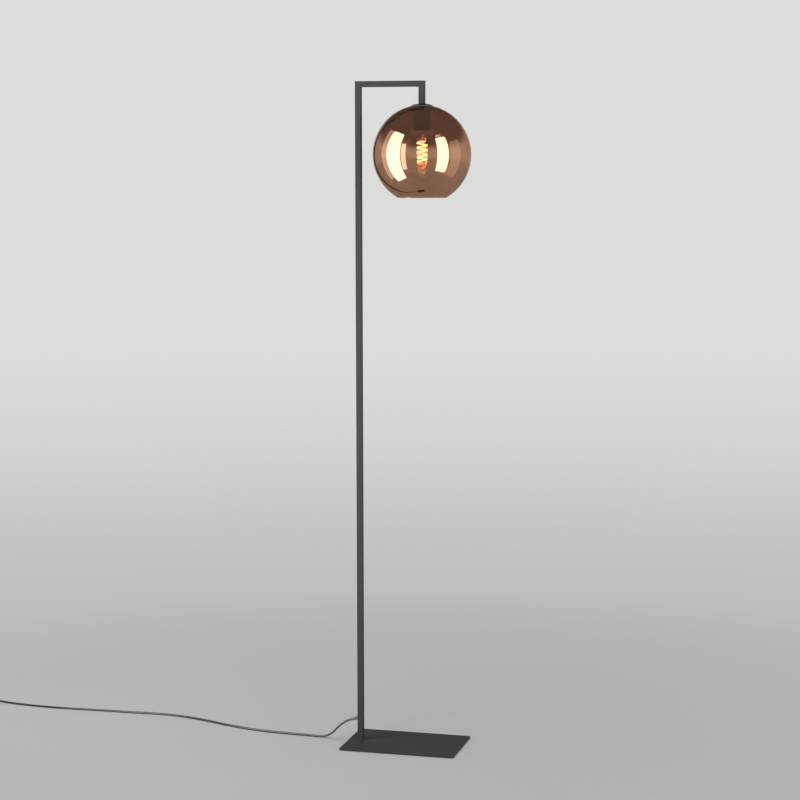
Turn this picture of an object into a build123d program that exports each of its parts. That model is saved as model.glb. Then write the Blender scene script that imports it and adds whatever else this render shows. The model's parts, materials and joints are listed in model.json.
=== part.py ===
from build123d import *
import os
from math import atan, cos, degrees, pi, radians, sin, sqrt, tan

# Globe floor lamp. Millimetres, +Z up, floor at Z = 0. X runs along the arm, from the upright
# towards the globe. The origin is on the floor, midway along and across the lamp without its cord.

# ---------------------------------------------------------------- driving dimensions
# Frame: one square tube, mitred and welded at both upper corners
HEIGHT = 1500.0            # floor to the top of the arm
TUBE = 13.0                # side of the square tube
TUBE_WALL = 1.2
TUBE_CORNER = 0.8          # outer corner radius
TUBE_INNER_CORNER = 0.3
ARM_REACH = 145.5          # axis of the upright to axis of the drop tube
DROP = 50.8                # top of the arm to the open end of the drop tube
BLOCK_FIT = 0.15           # gap all round a block inside the tube

# Base plate and what holds it to the upright
PLATE_LENGTH = 265.0
PLATE_WIDTH = 171.0
PLATE_THICK = 4.0
PLATE_BEHIND_POLE = 27.0   # axis of the upright to the nearest short edge
PLATE_CORNER = 1.5
PLATE_EDGE = 0.4
PAD_THICK = 1.0
PAD_DIA = 18.0
PAD_INSET = 16.0           # plate edge to pad centre
FOOT_BLOCK_HEIGHT = 20.0
SCREW_DIA = 6.0
SCREW_LENGTH = 18.0
SCREW_HEAD_DIA = 11.3
SCREW_HEAD_HEIGHT = 3.2
SCREW_SOCKET = 3.5         # across the flats
SCREW_SOCKET_DEPTH = 2.0
THREAD_FIT = 0.05          # radial gap between a screw and its hole

# Cord exit, low on the side away from the globe
EXIT_ABOVE_PLATE = 50.0
RELIEF_FLANGE_DIA = 10.0
RELIEF_FLANGE_THICK = 1.5
RELIEF_BARREL_DIA = 7.8
RELIEF_HOLE_FIT = 0.1      # radial gap in the tube's wall
RELIEF_LIP_DIA = 9.2
RELIEF_LIP = 1.8
RELIEF_TAIL = 15.5         # tapered tail, along its own axis
RELIEF_TAIL_ROOT_DIA = 8.0
RELIEF_TAIL_TIP_DIA = 6.2
RELIEF_DROOP = 18.0        # degrees below level
CORD_DIA = 5.0
CORD_BORE_FIT = 0.05       # radial gap of the cord in a bore

# Shade: blown glass globe, open below
GLOBE_DIA = 218.0
GLASS_WALL = 2.5
MOUTH_BELOW_CENTRE = 94.5
GLASS_LIP = 0.7            # fire-polished edge of the mouth
NECK_HOLE_DIA = 41.0
CAP_DIA = 48.0             # also the ground seat on the glass
CAP_HEIGHT = 3.6
CAP_WALL = 1.2
CAP_FLAT_DIA = 19.0
CAP_SEAL_THICK = 0.8
CAP_SEAL_WIDTH = 3.2

# Nipple between the frame and the lampholder
NIPPLE_DIA = 8.0
NIPPLE_BORE = 5.6
PLUG_HEIGHT = 10.0
NIPPLE_GRIP = 9.5          # length inside the lampholder's boss

# Lampholder for a 27 mm screw cap
HOLDER_DIA = 39.0
HOLDER_CAP_THICK = 2.0
HOLDER_SPIGOT = 6.0
HOLDER_SPIGOT_WALL = 2.0
HOLDER_SHELL_HEIGHT = 52.0
HOLDER_WALL = 2.2
HOLDER_FIT = 0.1
HOLDER_BOSS_DIA = 12.4
HOLDER_BOSS_HEIGHT = 10.0
LEDGE_BELOW_RIM = 20.6     # shell's upper rim to the top of its inner ledge
LEDGE_THICK = 2.0
LEDGE_WIDTH = 2.3
CORE_THICK = 9.0
SLEEVE_BORE = 26.8
SLEEVE_WALL = 0.5
SLEEVE_LENGTH = 26.0
SLEEVE_FLANGE = 2.4
LEAF_THICK = 0.5
LEAF_WIDTH = 5.0
LEAF_REACH = 10.5
LEAF_DIP = 1.5
LEAF_BEND_AT = 3.5         # axis to each bend
RIVET_DIA = 1.8
RIVET_HEAD_DIA = 2.6
RIVET_HEAD = 0.6
LIVE_RIVET_AT = 9.25
RETURN_RIVET_AT = 12.0
TERMINAL_LENGTH = 7.0
TERMINAL_WIDTH = 6.0
TERMINAL_HEIGHT = 5.5
TERMINAL_AT = 6.5          # axis to a terminal's near face
TERMINAL_SCREW_DIA = 3.0
TERMINAL_SCREW_GRIP = 4.0
TERMINAL_SCREW_HEAD_DIA = 5.0
TERMINAL_SCREW_HEAD = 1.4
SLOT_WIDTH = 0.8
SLOT_DEPTH = 0.6

# Ring that clamps the glass from inside
RING_DIA = 52.0
RING_FLANGE = 2.5
RING_HEIGHT = 10.0
RING_COLLAR_WALL = 2.4
RING_FIT = 0.15
RING_SEAL_THICK = 0.8
RING_SEAL_WIDTH = 4.0
SEAL_TO_GLASS = 0.1

# Bulb
CONTACT_GAP = 0.1
TIP_DIA = 9.2
TIP_HEIGHT = 1.5
TIP_EDGE = 0.5
INSULATOR_HEIGHT = 4.0
INSULATOR_TOP_DIA = 10.4
INSULATOR_FOOT_DIA = 22.4
CAP_SHELL_DIA = 26.2
CAP_SHELL_HEIGHT = 21.0
CAP_SHELL_WALL = 0.4
CAP_SHOULDER = 1.5
BULB_DIA = 64.0
BULB_WALL = 0.9
BULB_NECK_DIA = 25.0
BULB_NECK_IN_CAP = 6.0
BULB_SHOULDER = 85.9       # widest place up to the end of the neck
STEM_FLARE_DIA = 22.4
STEM_DIA = 6.4
STEM_FLARE = 10.0
STEM_LENGTH = 16.0
DRIVER_BOARD = 17.0
DRIVER_THICK = 1.2
DRIVER_HEIGHT = 13.0
CAPACITOR_DIA = 6.8
CAPACITOR_HEIGHT = 10.0
FILAMENT_DIA = 2.4
FILAMENT_COIL_RADIUS = 10.5
FILAMENT_PITCH = 10.3
FILAMENT_TURNS = 4.8
FILAMENT_FIRST = 70.0      # degrees from +X, where the coil starts
FILAMENT_BELOW_STEM = 16.0
WIRE_DIA = 0.7
WIRE_SPREAD = 6.0
WIRE_IN_STEM = 2.0
WIRES_APART = 3.2
WIRE_KNEE = 3.0            # stem's end to the bend below it
WIRE_LOOP = 5.0            # how far the second wire hangs below the coil
BULB_THREAD_PITCH = 3.629

# Leads inside
CORE_DIA = 2.0
CORE_SPACING = 2.5
CORES_ABOVE_PLUG = 4.0
LEAD_TURN_IN = 6.2         # bend just inside the cord exit
LEAD_TURN_OUT = 4.0        # length of the exit's small bend, each side of its corner
LEAD_TURN_CORNER = 9.0     # bends in the mitred corners
LEAD_SIDE_GAP = 0.2
LEAD_STRAIGHTENS = (200.0, 400.0)
LEAD_GENTLE_BEND = 1500.0

# Foot switch on the cord
SWITCH_LENGTH = 64.0
SWITCH_WIDTH = 34.0
SWITCH_CORNER = 12.0
SWITCH_BASE_HEIGHT = 7.0
SWITCH_COVER_HEIGHT = 13.0
SWITCH_EDGE = 2.5
SWITCH_WALL = 2.0
BUTTON_DIA = 22.0
BUTTON_FIT = 0.3
BUTTON_PROUD = 4.0
BUTTON_EDGE = 1.5
BUTTON_FLANGE = 1.5
BUTTON_FLANGE_THICK = 1.5
BUTTON_TRAVEL = 3.0
BUTTON_STEM_DIA = 5.0
BUTTON_SHELL = 2.0
BLOCK_LENGTH = 22.0
BLOCK_WIDTH = 16.0
BLOCK_HEIGHT = 5.0
SPRING_WIRE = 0.8
SPRING_RADIUS = 5.0
SPRING_TURNS = 3.0
SWITCH_TERMINAL = 5.0
BUSH_DIA = 9.0
BUSH_TIP_DIA = 6.4
BUSH_LENGTH = 9.0
BUSH_INSIDE = 4.0
POST_DIA = 6.0
POST_ALONG = 21.0
POST_ACROSS = 10.0
CASE_SCREW_DIA = 2.6
CASE_SCREW_LENGTH = 9.0
CASE_SCREW_HEAD_DIA = 5.0
CASE_SCREW_HEAD = 1.6

# Two-pin plug
PLUG_LENGTH = 36.0
PLUG_WIDTH = 35.2
PLUG_FACE_WIDTH = 28.0
PLUG_SHOULDER = 7.0
PLUG_TAIL_WIDTH = 15.0
PLUG_THICK = 13.6
PLUG_EDGE = 2.5
PIN_DIA = 4.0
PIN_LENGTH = 19.0
PIN_SPACING = 18.6
PIN_IN_BODY = 8.0
PIN_ROOT_DIA = 3.4
PIN_TIP = 1.5
PLUG_RELIEF = 22.0
PLUG_RELIEF_ROOT_DIA = 11.0
PLUG_RELIEF_TIP_DIA = 7.0

# Coil of the cord that isn't in use
COIL_OUTER_RADIUS = 34.5   # axis of the first turn
COIL_STEP = 5.6            # from turn to turn, and from layer to layer
COIL_TURNS = 5.5
COIL_CLIMB = 0.5           # turns over which it climbs a layer
COIL_LEAD = 5.0            # straight ends
TIE_THICK = 1.0
TIE_WIDTH = 6.0
TIE_GAP = 0.4

# Cord routes, measured from the axis of the upright at floor level
ROUTE_TO_SWITCH = (
    (-79.0, 5.5, 2.5),
    (-124.0, 10.0, 2.5),
    (-182.0, 13.0, 2.5),
    (-243.0, 18.5, 2.5),
    (-291.0, 29.5, 2.5),
    (-341.0, 45.5, 2.5),
    (-398.0, 69.0, 2.5),
    (-450.0, 87.0, 2.5),
    (-507.0, 98.0, 2.5),
    (-566.0, 98.5, 2.5),
    (-613.0, 94.5, 2.5),
    (-672.0, 95.5, 2.5),
    (-738.0, 91.5, 2.5),
    (-801.0, 90.5, 2.5),
    (-862.0, 94.5, 2.5),
    (-926.0, 103.0, 2.5),
)
EXIT_RUN = 21.5            # straight on from the strain relief
SWITCH_ENTRY = (-1000.0, 108.0)
SWITCH_RUN = 23.0          # straight into the switch
COIL_RUNS = (18.0, 27.0, 20.0)          # from the switch to the coil, along X
COIL_ASIDE = 3.0
PLUG_RUNS = (14.0, 15.0, 13.0)          # from the coil to the plug, along X
PLUG_ASIDE = 1.2

# ---------------------------------------------------------------- places worked out from them
PLATE_TOP = PAD_THICK + PLATE_THICK
LEFT_OF_POLE = -PLATE_BEHIND_POLE
RIGHT_OF_POLE = max(PLATE_LENGTH - PLATE_BEHIND_POLE, ARM_REACH + GLOBE_DIA / 2)
POLE_X = -(LEFT_OF_POLE + RIGHT_OF_POLE) / 2
DROP_X = POLE_X + ARM_REACH
ARM_Z = HEIGHT - TUBE / 2
DROP_END = HEIGHT - DROP
TUBE_BORE = TUBE - 2 * TUBE_WALL
BLOCK_SIDE = TUBE_BORE - 2 * BLOCK_FIT
EXIT_Z = PLATE_TOP + EXIT_ABOVE_PLATE

GLOBE_RADIUS = GLOBE_DIA / 2
SEAT_RISE = sqrt(GLOBE_RADIUS**2 - (CAP_DIA / 2) ** 2)
CAP_FOOT = DROP_END - CAP_HEIGHT
GLOBE_Z = CAP_FOOT - CAP_SEAL_THICK - SEAT_RISE
GLASS_TOP = GLOBE_Z + SEAT_RISE
MOUTH_Z = GLOBE_Z - MOUTH_BELOW_CENTRE

HOLDER_RADIUS = HOLDER_DIA / 2
HOLDER_BORE_RADIUS = HOLDER_RADIUS - HOLDER_WALL
HOLDER_TOP = CAP_FOOT
SHELL_TOP = HOLDER_TOP - HOLDER_CAP_THICK
SHELL_FOOT = SHELL_TOP - HOLDER_SHELL_HEIGHT
BOSS_TOP = DROP_END - CAP_WALL
BOSS_FOOT = BOSS_TOP - HOLDER_BOSS_HEIGHT
LEDGE_TOP = SHELL_TOP - LEDGE_BELOW_RIM
CORE_TOP = LEDGE_TOP + CORE_THICK
TERMINAL_TOP = CORE_TOP + TERMINAL_HEIGHT
NIPPLE_FOOT = BOSS_TOP - NIPPLE_GRIP
LEAF_FOOT = LEDGE_TOP - LEAF_THICK - LEAF_DIP
CORES_START = DROP_END + PLUG_HEIGHT + CORES_ABOVE_PLUG

RING_SEAL_TOP = GLOBE_Z + sqrt((GLOBE_RADIUS - GLASS_WALL) ** 2 - (RING_DIA / 2) ** 2) - SEAL_TO_GLASS
RING_TOP = RING_SEAL_TOP - RING_SEAL_THICK

TIP_TOP = LEAF_FOOT - CONTACT_GAP
TIP_FOOT = TIP_TOP - TIP_HEIGHT
CAP_SHELL_TOP = TIP_FOOT - INSULATOR_HEIGHT
CAP_SHELL_FOOT = CAP_SHELL_TOP - CAP_SHELL_HEIGHT
NECK_TOP = CAP_SHELL_FOOT + BULB_NECK_IN_CAP
BELLY_Z = NECK_TOP - BULB_SHOULDER
STEM_TOP = NECK_TOP - BULB_WALL
STEM_FOOT = STEM_TOP - STEM_LENGTH
FILAMENT_TOP = STEM_FOOT - FILAMENT_BELOW_STEM

SWITCH_X = POLE_X + SWITCH_ENTRY[0] - BUSH_LENGTH - SWITCH_LENGTH / 2
SWITCH_Y = SWITCH_ENTRY[1]
SWITCH_SPLIT = SWITCH_BASE_HEIGHT
SWITCH_FAR_X = SWITCH_X - SWITCH_LENGTH / 2 - BUSH_LENGTH
SWITCH_TOP = SWITCH_BASE_HEIGHT + SWITCH_COVER_HEIGHT
BUTTON_TOP = SWITCH_TOP + BUTTON_PROUD
FLANGE_TOP = SWITCH_TOP - SWITCH_WALL - BUTTON_FIT
FLANGE_FOOT = FLANGE_TOP - BUTTON_FLANGE_THICK
BLOCK_TOP = SWITCH_WALL + BLOCK_HEIGHT
BUTTON_ROOF = BUTTON_TOP - BUTTON_SHELL

COIL_X = SWITCH_FAR_X - sum(COIL_RUNS) - COIL_LEAD
COIL_Y = SWITCH_Y - COIL_ASIDE - COIL_OUTER_RADIUS
COIL_Z = TIE_THICK + TIE_GAP + CORD_DIA / 2
COIL_END_X = COIL_X + COIL_LEAD
COIL_END_Y = COIL_Y - COIL_OUTER_RADIUS
COIL_END_Z = COIL_Z + COIL_STEP
PLUG_X = COIL_END_X + sum(PLUG_RUNS)
PLUG_Y = COIL_END_Y - PLUG_ASIDE
PLUG_Z = PLUG_THICK / 2
PLUG_BACK_X = PLUG_X + PLUG_RELIEF
PLUG_FACE_X = PLUG_BACK_X + PLUG_LENGTH

UP_FROM = (Align.CENTER, Align.CENTER, Align.MIN)
BIG = 4 * GLOBE_DIA


# ---------------------------------------------------------------- helpers
def rod(radius, low, high, x=0.0, y=0.0):
    """An upright cylinder between two heights."""
    return Pos(x, y, low) * Cylinder(radius, high - low, align=UP_FROM)


def ring(outer, inner, low, high, x=0.0, y=0.0):
    return rod(outer, low, high, x, y) - rod(inner, low - 1, high + 1, x, y)


def cone(low_radius, high_radius, low, high, x=0.0, y=0.0):
    return Pos(x, y, low) * Cone(low_radius, high_radius, high - low, align=UP_FROM)


def block(size_x, size_y, low, high, x=0.0, y=0.0):
    return Pos(x, y, low) * Box(size_x, size_y, high - low, align=UP_FROM)


def along_x(radius, start, end, y, z):
    """A cylinder that lies along X, from one X to another."""
    plane = Plane(origin=(start, y, z), x_dir=(0, 1, 0), z_dir=(1, 0, 0))
    return plane * Cylinder(radius, end - start, align=UP_FROM)


def taper_along_x(radius, end_radius, start, end, y, z):
    plane = Plane(origin=(start, y, z), x_dir=(0, 1, 0), z_dir=(1, 0, 0))
    return plane * Cone(radius, end_radius, end - start, align=UP_FROM)


def on_drop(shape):
    """Moves a shape made about the Z axis onto the drop tube's axis."""
    return Pos(DROP_X, 0, 0) * shape


def path_radii(points):
    """For each corner, 0.45 of its shorter run over the tangent of half its turn."""
    radii = []
    for before, at, after in zip(points, points[1:], points[2:]):
        a = Vector(*at) - Vector(*before)
        b = Vector(*after) - Vector(*at)
        half_turn = radians(a.get_angle(b)) / 2
        radii.append(0.45 * min(a.length, b.length) / tan(half_turn))
    return radii


def tube_along(path, diameter):
    return sweep(Plane(origin=path @ 0, z_dir=path % 0) * Circle(diameter / 2), path=path)


def cord_tube(name, points, diameter):
    """A cord along straight runs and tangent arcs, with its radii and volume printed."""
    radii = path_radii(points)
    path = FilletPolyline(*points, radius=radii)
    solid = tube_along(path, diameter)
    share = solid.volume / (pi * diameter**2 / 4 * path.length)
    print(name, "length", round(path.length, 1), "volume share", round(share, 5))
    print(name, "radii", [round(r, 1) for r in radii])
    return solid


def biarc(start, start_way, end, end_way):
    """Two tangent arcs between two points with given directions."""
    chord = end - start
    ways = start_way + end_way
    spread = 2 * (1 - start_way.dot(end_way))
    along = chord.dot(ways)
    if spread < 1e-9:
        reach = chord.dot(chord) / (4 * chord.dot(end_way))
    else:
        reach = (sqrt(along**2 + spread * chord.dot(chord)) - along) / spread
    joint = (start + end + (start_way - end_way) * reach) / 2
    first = Edge.make_tangent_arc(start, start_way, joint)
    second = Edge.make_tangent_arc(joint, first % 1, end)
    return [first, second]


def wound_wire(point_at, turns, lead, end_ways=None):
    """A winding on quarter-turn biarcs, with straight ends."""
    steps = max(1, round(turns * 4))
    stops = [turns * i / steps for i in range(steps + 1)]
    nudge = 1e-4
    points = [point_at(t) for t in stops]
    ways = [(point_at(t + nudge) - point_at(t - nudge)).normalized() for t in stops]
    if end_ways:
        ways[0], ways[-1] = end_ways
    edges = [Edge.make_line(points[0] - ways[0] * lead, points[0])]
    for i in range(steps):
        edges += biarc(points[i], ways[i], points[i + 1], ways[i + 1])
    edges.append(Edge.make_line(points[-1], points[-1] + ways[-1] * lead))
    return Wire(edges)


def least_gap(name, point_at, turns, diameter):
    """Prints the least gap between turns of a winding, taken on points along it."""
    per_turn = 48
    count = round(turns * per_turn)
    points = [point_at(turns * i / count) for i in range(count + 1)]
    nearest = min(
        (points[i] - points[j]).length
        for i in range(len(points))
        for j in range(i + per_turn // 2, len(points))
    )
    print(name, "least gap to itself", round(nearest - diameter, 3))


def slotted_screw(dia, grip, head_dia, head):
    """A cheese-head screw: its head stands on Z = 0 and its shank hangs below."""
    screw = rod(dia / 2, -grip, 0) + rod(head_dia / 2, 0, head)
    return screw - block(head_dia + 1, SLOT_WIDTH, head - SLOT_DEPTH, head + 1)


# ---------------------------------------------------------------- base
def corner_places(length, width, inset):
    middle = POLE_X - PLATE_BEHIND_POLE + PLATE_LENGTH / 2
    for side_x in (-1, 1):
        for side_y in (-1, 1):
            yield middle + side_x * (length / 2 - inset), side_y * (width / 2 - inset)


def base_plate():
    middle = POLE_X - PLATE_BEHIND_POLE + PLATE_LENGTH / 2
    outline = Pos(middle, 0, PAD_THICK) * RectangleRounded(PLATE_LENGTH, PLATE_WIDTH, PLATE_CORNER)
    plate = extrude(outline, amount=PLATE_THICK)
    upper = plate.edges().group_by(Axis.Z)[-1]
    plate = chamfer(upper, PLATE_EDGE)
    plate -= rod(SCREW_DIA / 2 + THREAD_FIT, PAD_THICK - 1, PLATE_TOP + 1, POLE_X)
    sink = cone(
        SCREW_HEAD_DIA / 2 + THREAD_FIT,
        SCREW_DIA / 2 + THREAD_FIT,
        PAD_THICK,
        PAD_THICK + SCREW_HEAD_HEIGHT,
        POLE_X,
    )
    return plate - sink


def base_pads():
    places = corner_places(PLATE_LENGTH, PLATE_WIDTH, PAD_INSET)
    return Compound([rod(PAD_DIA / 2, 0, PAD_THICK, x, y) for x, y in places])


def base_screw():
    shank = rod(SCREW_DIA / 2, PAD_THICK + SCREW_HEAD_HEIGHT, PAD_THICK + SCREW_LENGTH, POLE_X)
    head = cone(
        SCREW_HEAD_DIA / 2, SCREW_DIA / 2, PAD_THICK, PAD_THICK + SCREW_HEAD_HEIGHT, POLE_X
    )
    key = Pos(POLE_X, 0, PAD_THICK) * RegularPolygon(SCREW_SOCKET / 2, 6, major_radius=False)
    return shank + head - extrude(key, amount=SCREW_SOCKET_DEPTH)


def foot_block():
    body = block(BLOCK_SIDE, BLOCK_SIDE, PLATE_TOP, PLATE_TOP + FOOT_BLOCK_HEIGHT, POLE_X)
    top = PLATE_TOP + FOOT_BLOCK_HEIGHT
    return body - rod(SCREW_DIA / 2 + THREAD_FIT, 0, top + 1, POLE_X)


# ---------------------------------------------------------------- frame
def square_tube(start, way, length):
    """Square tube from a point along a direction, with its sides square to Y."""
    plane = Plane(origin=start, x_dir=(0, 1, 0), z_dir=way)
    outer = plane * RectangleRounded(TUBE, TUBE, TUBE_CORNER)
    inner = plane * RectangleRounded(TUBE_BORE, TUBE_BORE, TUBE_INNER_CORNER)
    return extrude(outer - inner, amount=length)


def mitre(x, way):
    return Plane(origin=(x, 0, ARM_Z), z_dir=way)


POLE_MITRE = mitre(POLE_X, (1, 0, 1))
DROP_MITRE = mitre(DROP_X, (1, 0, -1))


def pole_tube():
    tube = square_tube((POLE_X, 0, PLATE_TOP), (0, 0, 1), HEIGHT - PLATE_TOP)
    tube = split(tube, bisect_by=POLE_MITRE, keep=Keep.BOTTOM)
    hole_radius = RELIEF_BARREL_DIA / 2 + RELIEF_HOLE_FIT
    return tube - along_x(hole_radius, POLE_X - TUBE, POLE_X, 0, EXIT_Z)


def arm_tube():
    tube = square_tube((POLE_X - TUBE / 2, 0, ARM_Z), (1, 0, 0), ARM_REACH + TUBE)
    tube = split(tube, bisect_by=POLE_MITRE, keep=Keep.TOP)
    return split(tube, bisect_by=DROP_MITRE, keep=Keep.BOTTOM)


def drop_tube():
    tube = square_tube((DROP_X, 0, DROP_END), (0, 0, 1), DROP)
    return split(tube, bisect_by=DROP_MITRE, keep=Keep.TOP)


def drop_plug():
    plug = block(BLOCK_SIDE, BLOCK_SIDE, DROP_END, DROP_END + PLUG_HEIGHT)
    return on_drop(plug - rod(NIPPLE_DIA / 2 + THREAD_FIT, 0, HEIGHT))


# ---------------------------------------------------------------- cord exit and inner leads
def relief_tip():
    """Where the free cord leaves the tail of the strain relief, and its direction there."""
    droop = radians(RELIEF_DROOP)
    flange_x = POLE_X - TUBE / 2 - RELIEF_FLANGE_THICK
    way = Vector(-cos(droop), 0, -sin(droop))
    return Vector(flange_x, 0, EXIT_Z) + way * RELIEF_TAIL, way


def lead_path(beyond):
    """Middle line of the lead in the frame, starting beyond the strain relief's tip."""
    tip, way = relief_tip()
    side = POLE_X + TUBE_BORE / 2 - CORD_DIA / 2 - LEAD_SIDE_GAP
    flange_x = POLE_X - TUBE / 2 - RELIEF_FLANGE_THICK
    points = [
        tip + way * beyond,
        Vector(flange_x, 0, EXIT_Z),
        Vector(side, 0, EXIT_Z),
        Vector(side, 0, EXIT_Z + LEAD_STRAIGHTENS[0]),
        Vector(POLE_X, 0, EXIT_Z + LEAD_STRAIGHTENS[1]),
        Vector(POLE_X, 0, ARM_Z),
        Vector(DROP_X, 0, ARM_Z),
        Vector(DROP_X, 0, CORES_START),
    ]
    exit_radius = LEAD_TURN_OUT / tan(radians(RELIEF_DROOP) / 2)
    radii = [exit_radius, LEAD_TURN_IN]
    radii += [LEAD_GENTLE_BEND, LEAD_GENTLE_BEND]
    radii += [LEAD_TURN_CORNER, LEAD_TURN_CORNER]
    return FilletPolyline(*points, radius=radii)


def strain_relief():
    wall_x = POLE_X - TUBE / 2
    bore_x = wall_x + TUBE_WALL
    flange_x = wall_x - RELIEF_FLANGE_THICK
    body = along_x(RELIEF_FLANGE_DIA / 2, flange_x, wall_x, 0, EXIT_Z)
    body += along_x(RELIEF_BARREL_DIA / 2, wall_x, bore_x, 0, EXIT_Z)
    body += along_x(RELIEF_LIP_DIA / 2, bore_x, bore_x + RELIEF_LIP, 0, EXIT_Z)
    way = relief_tip()[1]
    tail_plane = Plane(origin=(flange_x, 0, EXIT_Z), z_dir=way)
    tail = tail_plane * Cone(
        RELIEF_TAIL_ROOT_DIA / 2, RELIEF_TAIL_TIP_DIA / 2, RELIEF_TAIL, align=UP_FROM
    )
    root = tail_plane * Cylinder(
        RELIEF_TAIL_ROOT_DIA / 2, RELIEF_FLANGE_THICK, align=(Align.CENTER, Align.CENTER, Align.MAX)
    )
    bore = tube_along(lead_path(1.0), CORD_DIA + 2 * CORD_BORE_FIT)
    return body + tail + (root & body) - bore


def inner_lead():
    return tube_along(lead_path(0.0), CORD_DIA)


def core_wire(side):
    """One insulated core, from the lead's end through the nipple to its terminal."""
    level = CORE_TOP + TERMINAL_HEIGHT / 2
    points = [
        (DROP_X, side * CORE_SPACING / 2, CORES_START),
        (DROP_X, side * CORE_SPACING / 2, level),
        (DROP_X, side * TERMINAL_AT, level),
    ]
    return tube_along(FilletPolyline(*points, radius=CORE_DIA), CORE_DIA)


def core_live():
    return core_wire(1)


def core_neutral():
    return core_wire(-1)


# ---------------------------------------------------------------- shade and its fixing
def nipple():
    return on_drop(ring(NIPPLE_DIA / 2, NIPPLE_BORE / 2, NIPPLE_FOOT, DROP_END + PLUG_HEIGHT))


def domed_disc(radius, flat_radius, low, high):
    """A disc with a flat middle whose edge falls away in one arc."""
    with BuildPart() as made:
        with BuildSketch(Plane.XZ):
            with BuildLine():
                Line((0, low), (0, high))
                Line((0, high), (flat_radius, high))
                TangentArc((flat_radius, high), (radius, low), tangent=(1, 0))
                Line((radius, low), (0, low))
            make_face()
        revolve(axis=Axis.Z)
    return made.part


def shade_cap():
    flat = CAP_FLAT_DIA / 2
    outer = domed_disc(CAP_DIA / 2, flat, CAP_FOOT, DROP_END)
    inner = domed_disc(CAP_DIA / 2 - CAP_WALL, flat, CAP_FOOT, DROP_END - CAP_WALL)
    return on_drop(outer - inner - rod(NIPPLE_DIA / 2 + THREAD_FIT, 0, HEIGHT))


def cap_seal():
    return on_drop(ring(CAP_DIA / 2, CAP_DIA / 2 - CAP_SEAL_WIDTH, GLASS_TOP, CAP_FOOT))


def glass_shade():
    globe = Sphere(GLOBE_RADIUS) - Sphere(GLOBE_RADIUS - GLASS_WALL)
    globe -= block(BIG, BIG, -BIG, -MOUTH_BELOW_CENTRE)
    globe -= rod(CAP_DIA / 2 + 1, SEAT_RISE, BIG)
    globe -= rod(NECK_HOLE_DIA / 2, 0, BIG)
    rim = globe.edges().filter_by(GeomType.CIRCLE).group_by(Axis.Z)[0]
    return Pos(DROP_X, 0, GLOBE_Z) * fillet(rim, GLASS_LIP)


def ring_seal():
    outer = RING_DIA / 2
    return on_drop(ring(outer, outer - RING_SEAL_WIDTH, RING_TOP, RING_SEAL_TOP))


def shade_ring():
    inner = HOLDER_RADIUS + RING_FIT
    flange = rod(RING_DIA / 2, RING_TOP - RING_FLANGE, RING_TOP)
    collar = rod(inner + RING_COLLAR_WALL, RING_TOP - RING_HEIGHT, RING_TOP)
    return on_drop(flange + collar - rod(inner, 0, HEIGHT))


# ---------------------------------------------------------------- lampholder
def holder_cap():
    spigot_radius = HOLDER_BORE_RADIUS - HOLDER_FIT
    body = rod(HOLDER_RADIUS, SHELL_TOP, HOLDER_TOP)
    body += ring(spigot_radius, spigot_radius - HOLDER_SPIGOT_WALL, SHELL_TOP - HOLDER_SPIGOT, SHELL_TOP)
    body += rod(HOLDER_BOSS_DIA / 2, BOSS_FOOT, BOSS_TOP)
    return on_drop(body - rod(NIPPLE_DIA / 2 + THREAD_FIT, 0, HEIGHT))


def holder_shell():
    body = ring(HOLDER_RADIUS, HOLDER_BORE_RADIUS, SHELL_FOOT, SHELL_TOP)
    ledge = ring(
        HOLDER_RADIUS, HOLDER_BORE_RADIUS - LEDGE_WIDTH, LEDGE_TOP - LEDGE_THICK, LEDGE_TOP
    )
    return on_drop(body + ledge)


def holder_core():
    body = rod(HOLDER_BORE_RADIUS - HOLDER_FIT, LEDGE_TOP, CORE_TOP)
    for y in (LIVE_RIVET_AT, -RETURN_RIVET_AT):
        body -= rod(RIVET_DIA / 2 + THREAD_FIT, 0, HEIGHT, 0, y)
    return on_drop(body)


def holder_sleeve():
    inner = SLEEVE_BORE / 2
    body = ring(inner + SLEEVE_WALL, inner, LEDGE_TOP - SLEEVE_LENGTH, LEDGE_TOP)
    body += ring(inner + SLEEVE_WALL, inner - SLEEVE_FLANGE, LEDGE_TOP - SLEEVE_WALL, LEDGE_TOP)
    return on_drop(body - rod(RIVET_DIA / 2 + THREAD_FIT, 0, HEIGHT, 0, -RETURN_RIVET_AT))


def centre_contact():
    """Spring leaf under the core, which dips to meet the bulb's tip."""
    top = LEDGE_TOP
    low = LEAF_FOOT + LEAF_THICK
    upper = [(LEAF_REACH, top), (LEAF_BEND_AT, top), (0, low), (-LEAF_BEND_AT, low)]
    lower = [(y, z - LEAF_THICK) for y, z in reversed(upper)]
    strip = make_face(Polyline(*upper, *lower, close=True))
    leaf = extrude(Plane.YZ * strip, amount=LEAF_WIDTH / 2, both=True)
    return on_drop(leaf - rod(RIVET_DIA / 2 + THREAD_FIT, 0, HEIGHT, 0, LIVE_RIVET_AT))


def holder_rivets():
    made = []
    for y, under in ((LIVE_RIVET_AT, LEAF_THICK), (-RETURN_RIVET_AT, SLEEVE_WALL)):
        seat = LEDGE_TOP - under
        shank = rod(RIVET_DIA / 2, seat, CORE_TOP, DROP_X, y)
        made.append(shank + rod(RIVET_HEAD_DIA / 2, seat - RIVET_HEAD, seat, DROP_X, y))
    return Compound(made)


def holder_terminals():
    made = []
    for side in (-1, 1):
        y = side * (TERMINAL_AT + TERMINAL_LENGTH / 2)
        body = block(TERMINAL_WIDTH, TERMINAL_LENGTH, CORE_TOP, TERMINAL_TOP, DROP_X, y)
        hole = rod(
            TERMINAL_SCREW_DIA / 2 + THREAD_FIT,
            TERMINAL_TOP - TERMINAL_SCREW_GRIP,
            TERMINAL_TOP + 1,
            DROP_X,
            y,
        )
        made.append(body - hole)
    return Compound(made)


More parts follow.
